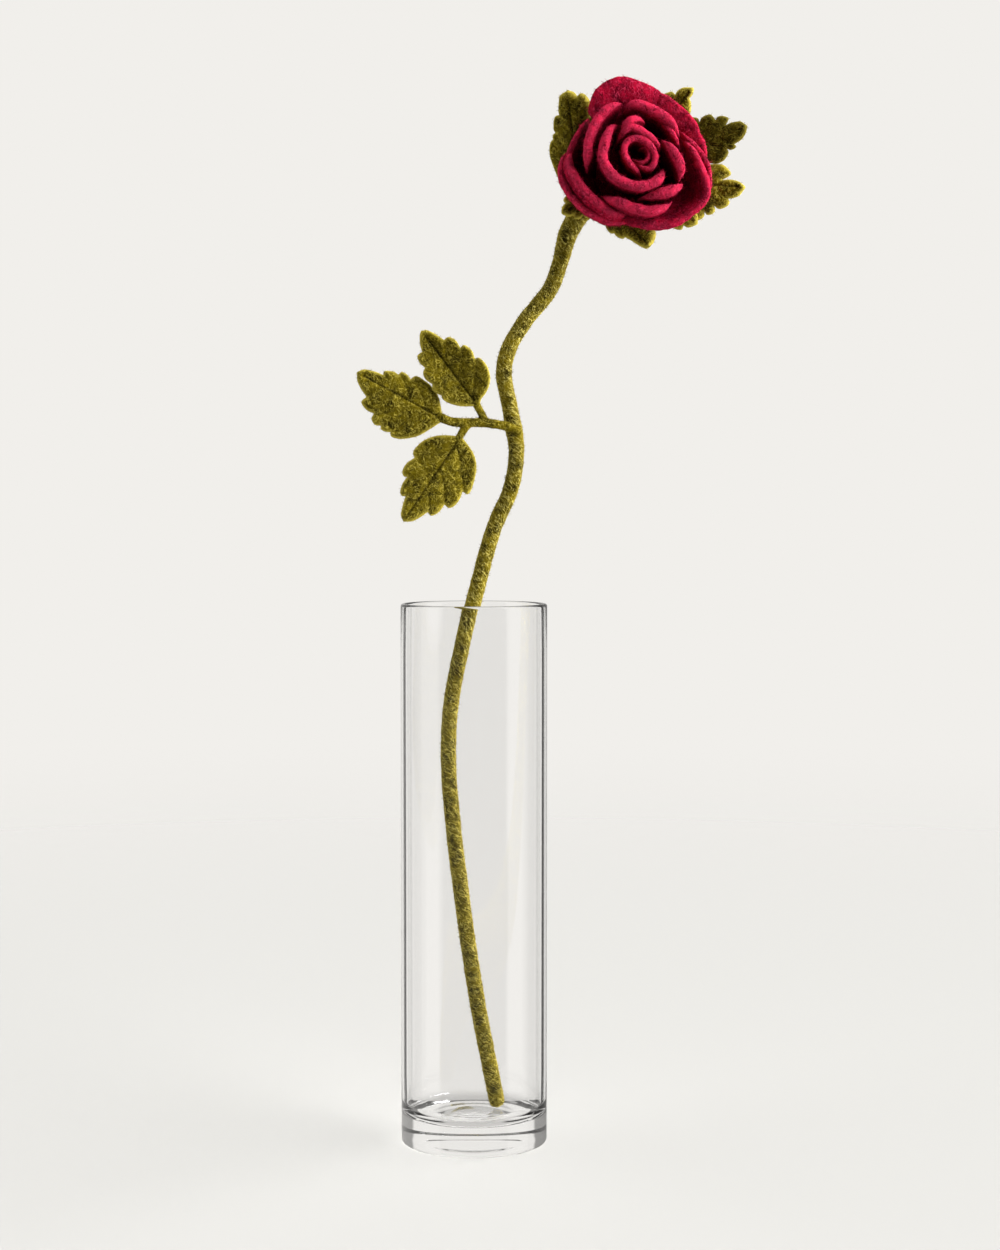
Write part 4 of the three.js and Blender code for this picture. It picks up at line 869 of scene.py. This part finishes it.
def fuzz(name, node, count, reach, seed):
    """The loose ends of the wool that stand out of the felt, each a slim curved spike rooted in a skin."""
    pick = np.random.default_rng(seed)
    corners, pressed, rims = [], [], []
    for skin in sorted(SKINS[node]):
        mesh = bpy.data.objects[skin].data
        mesh.calc_loop_triangles()
        triangles = values_of(mesh.loop_triangles, "vertices", 3)
        place = values_of(mesh.vertices, "co", 3, np.float32)
        corners.append(place.reshape(-1, 3)[triangles].reshape(-1, 3, 3) / MM)
        for kind, found in (("pressed", pressed), ("rim", rims)):
            amounts = np.zeros(len(mesh.vertices), np.float32)
            if kind in mesh.attributes:
                amounts = values_of(mesh.attributes[kind].data, "value", 1, np.float32)
            found.append(amounts[triangles].reshape(-1, 3).mean(1))
    corners, pressed, rims = np.concatenate(corners), np.concatenate(pressed), np.concatenate(rims)
    facing = np.cross(corners[:, 1] - corners[:, 0], corners[:, 2] - corners[:, 0])
    area = np.linalg.norm(facing, axis=1)
    chosen = pick.choice(len(area), count, p=area / area.sum())
    a, b = pick.random((2, count, 1))
    a, b = np.where(a + b > 1, 1 - a, a), np.where(a + b > 1, 1 - b, b)
    tri, out = corners[chosen], unit(facing[chosen])
    root = tri[:, 0] + a * (tri[:, 1] - tri[:, 0]) + b * (tri[:, 2] - tri[:, 0]) - 0.2 * out
    leaves = unit(out + 0.9 * unit(pick.normal(size=(count, 3))))
    bends = unit(leaves + 0.9 * unit(pick.normal(size=(count, 3))))
    length = reach * pick.uniform(0.4, 1, (count, 1))
    middle = root + leaves * length * 0.55
    tip = middle + bends * length * 0.45
    aside = unit(np.cross(leaves, pick.normal(size=(count, 3))))
    above = np.cross(leaves, aside)
    third = [math.cos(2 * math.pi * k / 3) * aside + math.sin(2 * math.pi * k / 3) * above for k in range(3)]
    at_root, at_middle = FUZZ_RADII
    spikes = [root + at_root * way for way in third] + [middle + at_middle * way for way in third] + [tip]
    each = len(spikes)
    one = np.array([[0, 1, 4, 3], [1, 2, 5, 4], [2, 0, 3, 5]])
    ends = np.array([[0, 2, 1], [3, 4, 6], [4, 5, 6], [5, 3, 6]])
    starts = np.arange(count)[:, None, None] * each
    faces = [*(one + starts).reshape(-1, 4).tolist(), *(ends + starts).reshape(-1, 3).tolist()]
    wool = crimson_wool if node == "rose_bloom" else olive_wool
    # Each loose end takes the painted shade and painted highlight of the skin it grows from, and at least a
    # little painted highlight.
    piece(name, np.stack(spikes, 1), faces, wool, node, pressed=np.repeat(pressed[chosen], each),
          rim=np.repeat(np.maximum(rims[chosen], 0.25), each))


for name, (node, count, reach, seed) in FUZZ.items():
    fuzz(name, node, count, reach, seed)

# ---- The wire keeps its CAD shape ----

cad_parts["stem_wire"].data.materials.clear()
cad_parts["stem_wire"].data.materials.append(drawn_steel)

# ---- Floor and light ----

FLOOR = {"drop": 0.0003, "rings": (0.004, 0.03, 0.07, 0.15, 0.3, 0.6, 1.1, 1.8, 2.6, 3.4, 4), "sides": 96}
floor_points = [(r * math.cos(a), r * math.sin(a), -FLOOR["drop"])
                for r in FLOOR["rings"] for a in round_turn(FLOOR["sides"])]
floor_mesh = bpy.data.meshes.new("studio_floor")
floor_mesh.from_pydata(floor_points, [],
                       [*ring_faces(len(FLOOR["rings"]), FLOOR["sides"]), list(range(FLOOR["sides"]))[::-1]])
studio_floor = bpy.data.objects.new("studio_floor", floor_mesh)
bpy.context.scene.collection.objects.link(studio_floor)

# A sheet of matt white board that fades into the backdrop far away. Under the vase a painted shadow makes it
# a little darker, and glass shows only that middle: where else light that glass has mirrored or bent meets
# the board, it goes on to the studio's dark sides.
BOARD = {"fade": (0.3, 1.7), "middle": (0.012, 0.016), "in_glass": 0.015, "colours": ("#9a9997", "#a7a6a3")}
white_board, board_tree = new_material("matt_white_board")
board_place = add(board_tree, "ShaderNodeTexCoord")
far_out = add(board_tree, "ShaderNodeVectorMath", None, {0: board_place.outputs["Object"]},
              operation="LENGTH").outputs["Value"]
board_fade = add(board_tree, "ShaderNodeMapRange", {1: BOARD["fade"][0], 2: BOARD["fade"][1]}, {0: far_out},
                 interpolation_type="SMOOTHSTEP")
board_painted_shadow = add(board_tree, "ShaderNodeMapRange", {1: BOARD["middle"][0], 2: BOARD["middle"][1]},
                   {0: far_out})
board_colour = add(board_tree, "ShaderNodeMix",
                   {6: linear(BOARD["colours"][0]), 7: linear(BOARD["colours"][1])}, {0: board_painted_shadow},
                   data_type="RGBA").outputs[2]
board = add(board_tree, "ShaderNodeBsdfDiffuse", None, {"Color": board_colour})
board_clear = add(board_tree, "ShaderNodeBsdfTransparent")
board_mix = add(board_tree, "ShaderNodeMixShader", None, {0: board_fade, 1: board, 2: board_clear})
path = add(board_tree, "ShaderNodeLightPath").outputs
by_glass = add(board_tree, "ShaderNodeMath", None, {0: path["Glossy Depth"], 1: path["Transmission Depth"]})
skipped = add(board_tree, "ShaderNodeMath", {1: 0.5}, {0: by_glass}, operation="GREATER_THAN")
for asked, test, limit in ((path["Diffuse Depth"], "LESS_THAN", 0.5),
                           (far_out, "GREATER_THAN", BOARD["in_glass"])):
    share = add(board_tree, "ShaderNodeMath", {1: limit}, {0: asked}, operation=test)
    skipped = add(board_tree, "ShaderNodeMath", None, {0: skipped, 1: share}, operation="MULTIPLY")
board_last = add(board_tree, "ShaderNodeMixShader", None, {0: skipped, 1: board_mix, 2: board_clear})
add(board_tree, "ShaderNodeOutputMaterial", None, {"Surface": board_last})
floor_mesh.materials.append(white_board)

# The studio, as levels of light by the way one looks: +X is right, +Y is back. Wool and floor are lit by two
# tall soft boxes at the sides, a bright backdrop and a soft top, with little light from the front.
BACKDROP = "#f1efeb"
AMBIENT = 0.08
SOFT_LIGHTS = [  # the way to it, the cosines of the angles from it where it begins and is full, and its level
    ((0.95, -0.06, 0.28), 0.58, 0.9, 9),
    ((-0.93, 0.15, 0.25), 0.6, 0.88, 1.7),
    ((0, 1, 0.1), 0.3, 0.8, 0.7),
    ((0, -0.2, 1), 0.5, 0.9, 0.5),
]

world = bpy.data.worlds.new("studio")
world.use_nodes = True
bpy.context.scene.world = world
sky = world.node_tree
sky.nodes.clear()
towards = add(sky, "ShaderNodeTexCoord").outputs["Generated"]
level = add(sky, "ShaderNodeMath", {0: AMBIENT, 1: 0})
for way, begins, full, gain in SOFT_LIGHTS:
    facing = add(sky, "ShaderNodeVectorMath", {1: Vector(way).normalized()}, {0: towards},
                 operation="DOT_PRODUCT").outputs["Value"]
    box = add(sky, "ShaderNodeMapRange", {1: begins, 2: full, 4: gain}, {0: facing},
              interpolation_type="SMOOTHSTEP")
    level = add(sky, "ShaderNodeMath", None, {0: level, 1: box})
lighting = add(sky, "ShaderNodeBackground", {"Color": (1, 1, 1, 1)}, {"Strength": level})

# What glass shows of the studio, in bands of the way that one looks: its X, its Y, its Z, or how far aside
# it goes, then where the band begins and ends, and its level before and after.
BANDS = {
    "right": ("X", -0.1, 0.1, 0, 1),
    "boxes": ("Y", -0.58, -0.5, 0.08, 1),  # dark in front, and bright at the soft boxes
    "past_boxes": ("Y", 0.04, 0.12, 0, 1),
    "past_edge": ("aside", 0.66, 0.72, 0, 1),  # of the backdrop
    "slant_in": ("aside", 0.4, 0.44, 0, 1),
    "slant_out": ("aside", 0.58, 0.62, 1, 0),
    "high": ("Z", 0.55, 0.8, 0, 1),
    "low": ("Z", -0.8, -0.4, 0.7, 1),
}
OUTSIDE = (0.85, 0.45)  # what the glass mirrors off its outside past the boxes, at the left and the right
PAST_EDGE = 0.36
OVERHEAD = 0.55

ways = dict(add(sky, "ShaderNodeSeparateXYZ", None, {0: towards}).outputs.items())
ways["aside"] = add(sky, "ShaderNodeMath", None, {0: ways["X"]}, operation="ABSOLUTE")
band = {}
for name, (way, begins, ends, before, after) in BANDS.items():
    band[name] = add(sky, "ShaderNodeMapRange", {1: begins, 2: ends, 3: before, 4: after}, {0: ways[way]},
                     interpolation_type="SMOOTHSTEP")

path = add(sky, "ShaderNodeLightPath").outputs
TESTS = {  # of the light that comes to the eye: what is asked, the test and its limit
    "mirrored": (path["Glossy Depth"], "GREATER_THAN", 0.5),
    "went_through": (path["Transmission Depth"], "GREATER_THAN", 0.5),
    "few_walls": (path["Transmission Depth"], "LESS_THAN", 2.5),
    "unscattered": (path["Diffuse Depth"], "LESS_THAN", 0.5),
    "falling": (ways["Z"], "LESS_THAN", 0.02),
    "behind": (ways["Y"], "GREATER_THAN", 0.1),
}
found = {}
for name, (asked, test, limit) in TESTS.items():
    found[name] = add(sky, "ShaderNodeMath", {1: limit}, {0: asked}, operation=test)

# Light that turned inside the wall and leaves it aslant is dark, and makes the thin dark side lines.
slant = band["slant_in"]
for share in (band["slant_out"], found["mirrored"], found["falling"]):
    slant = add(sky, "ShaderNodeMath", None, {0: slant, 1: share}, operation="MULTIPLY")
# What has only gone through is bright all round, apart from the grey that the solid foot and the walls seen
# edge on pick up past the backdrop's edges.
greyed = found["behind"]
for share in (found["few_walls"], band["past_edge"]):
    greyed = add(sky, "ShaderNodeMath", None, {0: greyed, 1: share}, operation="MULTIPLY")

outside = add(sky, "ShaderNodeMix", {2: OUTSIDE[0], 3: OUTSIDE[1]}, {0: band["right"]})
backdrop = add(sky, "ShaderNodeMix", {2: 1, 3: PAST_EDGE}, {0: band["past_edge"]})
through = add(sky, "ShaderNodeMix", {3: 0}, {0: slant, 2: backdrop})
past_boxes = add(sky, "ShaderNodeMix", None, {0: found["went_through"], 2: outside, 3: through})
sides = add(sky, "ShaderNodeMix", None, {0: band["past_boxes"], 2: band["boxes"], 3: past_boxes})
all_round = add(sky, "ShaderNodeMix", {3: OVERHEAD}, {0: band["high"], 2: sides})
only_through = add(sky, "ShaderNodeMix", {2: 1, 3: PAST_EDGE}, {0: greyed})
in_glass = add(sky, "ShaderNodeMix", None, {0: found["mirrored"], 2: only_through, 3: all_round})
in_glass = add(sky, "ShaderNodeMath", None, {0: in_glass, 1: band["low"]}, operation="MULTIPLY")
glass_view = add(sky, "ShaderNodeBackground", {"Color": linear(BACKDROP)}, {"Strength": in_glass})

# Seen straight, the backdrop is even and pale.
pale = add(sky, "ShaderNodeBackground", {"Color": linear(BACKDROP), "Strength": 1.0})

seen = path["Is Camera Ray"]
for ray in ("Is Transmission Ray", "Is Glossy Ray"):
    seen = add(sky, "ShaderNodeMath", None, {0: seen, 1: path[ray]})
shown = add(sky, "ShaderNodeMath", None, {0: seen, 1: found["unscattered"]}, operation="MULTIPLY",
            use_clamp=True)
by_glass = add(sky, "ShaderNodeMath", None, {0: found["mirrored"], 1: found["went_through"]},
               operation="MAXIMUM")
view = add(sky, "ShaderNodeMixShader", None, {0: by_glass, 1: pale, 2: glass_view})
studio_light = add(sky, "ShaderNodeMixShader", None, {0: shown, 1: lighting, 2: view})
add(sky, "ShaderNodeOutputWorld", None, {"Surface": studio_light})

KEY_LIGHT = {"place": (0.9, -1.2, 1.1), "aim": (0.03, 0, 0.25), "size": 0.5, "power": 6.5}
key_data = bpy.data.lights.new("key_light", "AREA")
key_data.shape = "DISK"
key_data.size = KEY_LIGHT["size"]
key_data.energy = KEY_LIGHT["power"]
key_light = bpy.data.objects.new("key_light", key_data)
key_light.location = KEY_LIGHT["place"]
towards_aim = Vector(KEY_LIGHT["aim"]) - Vector(KEY_LIGHT["place"])
key_light.rotation_euler = towards_aim.to_track_quat("-Z", "Y").to_euler()
key_light.visible_glossy = False
bpy.context.scene.collection.objects.link(key_light)
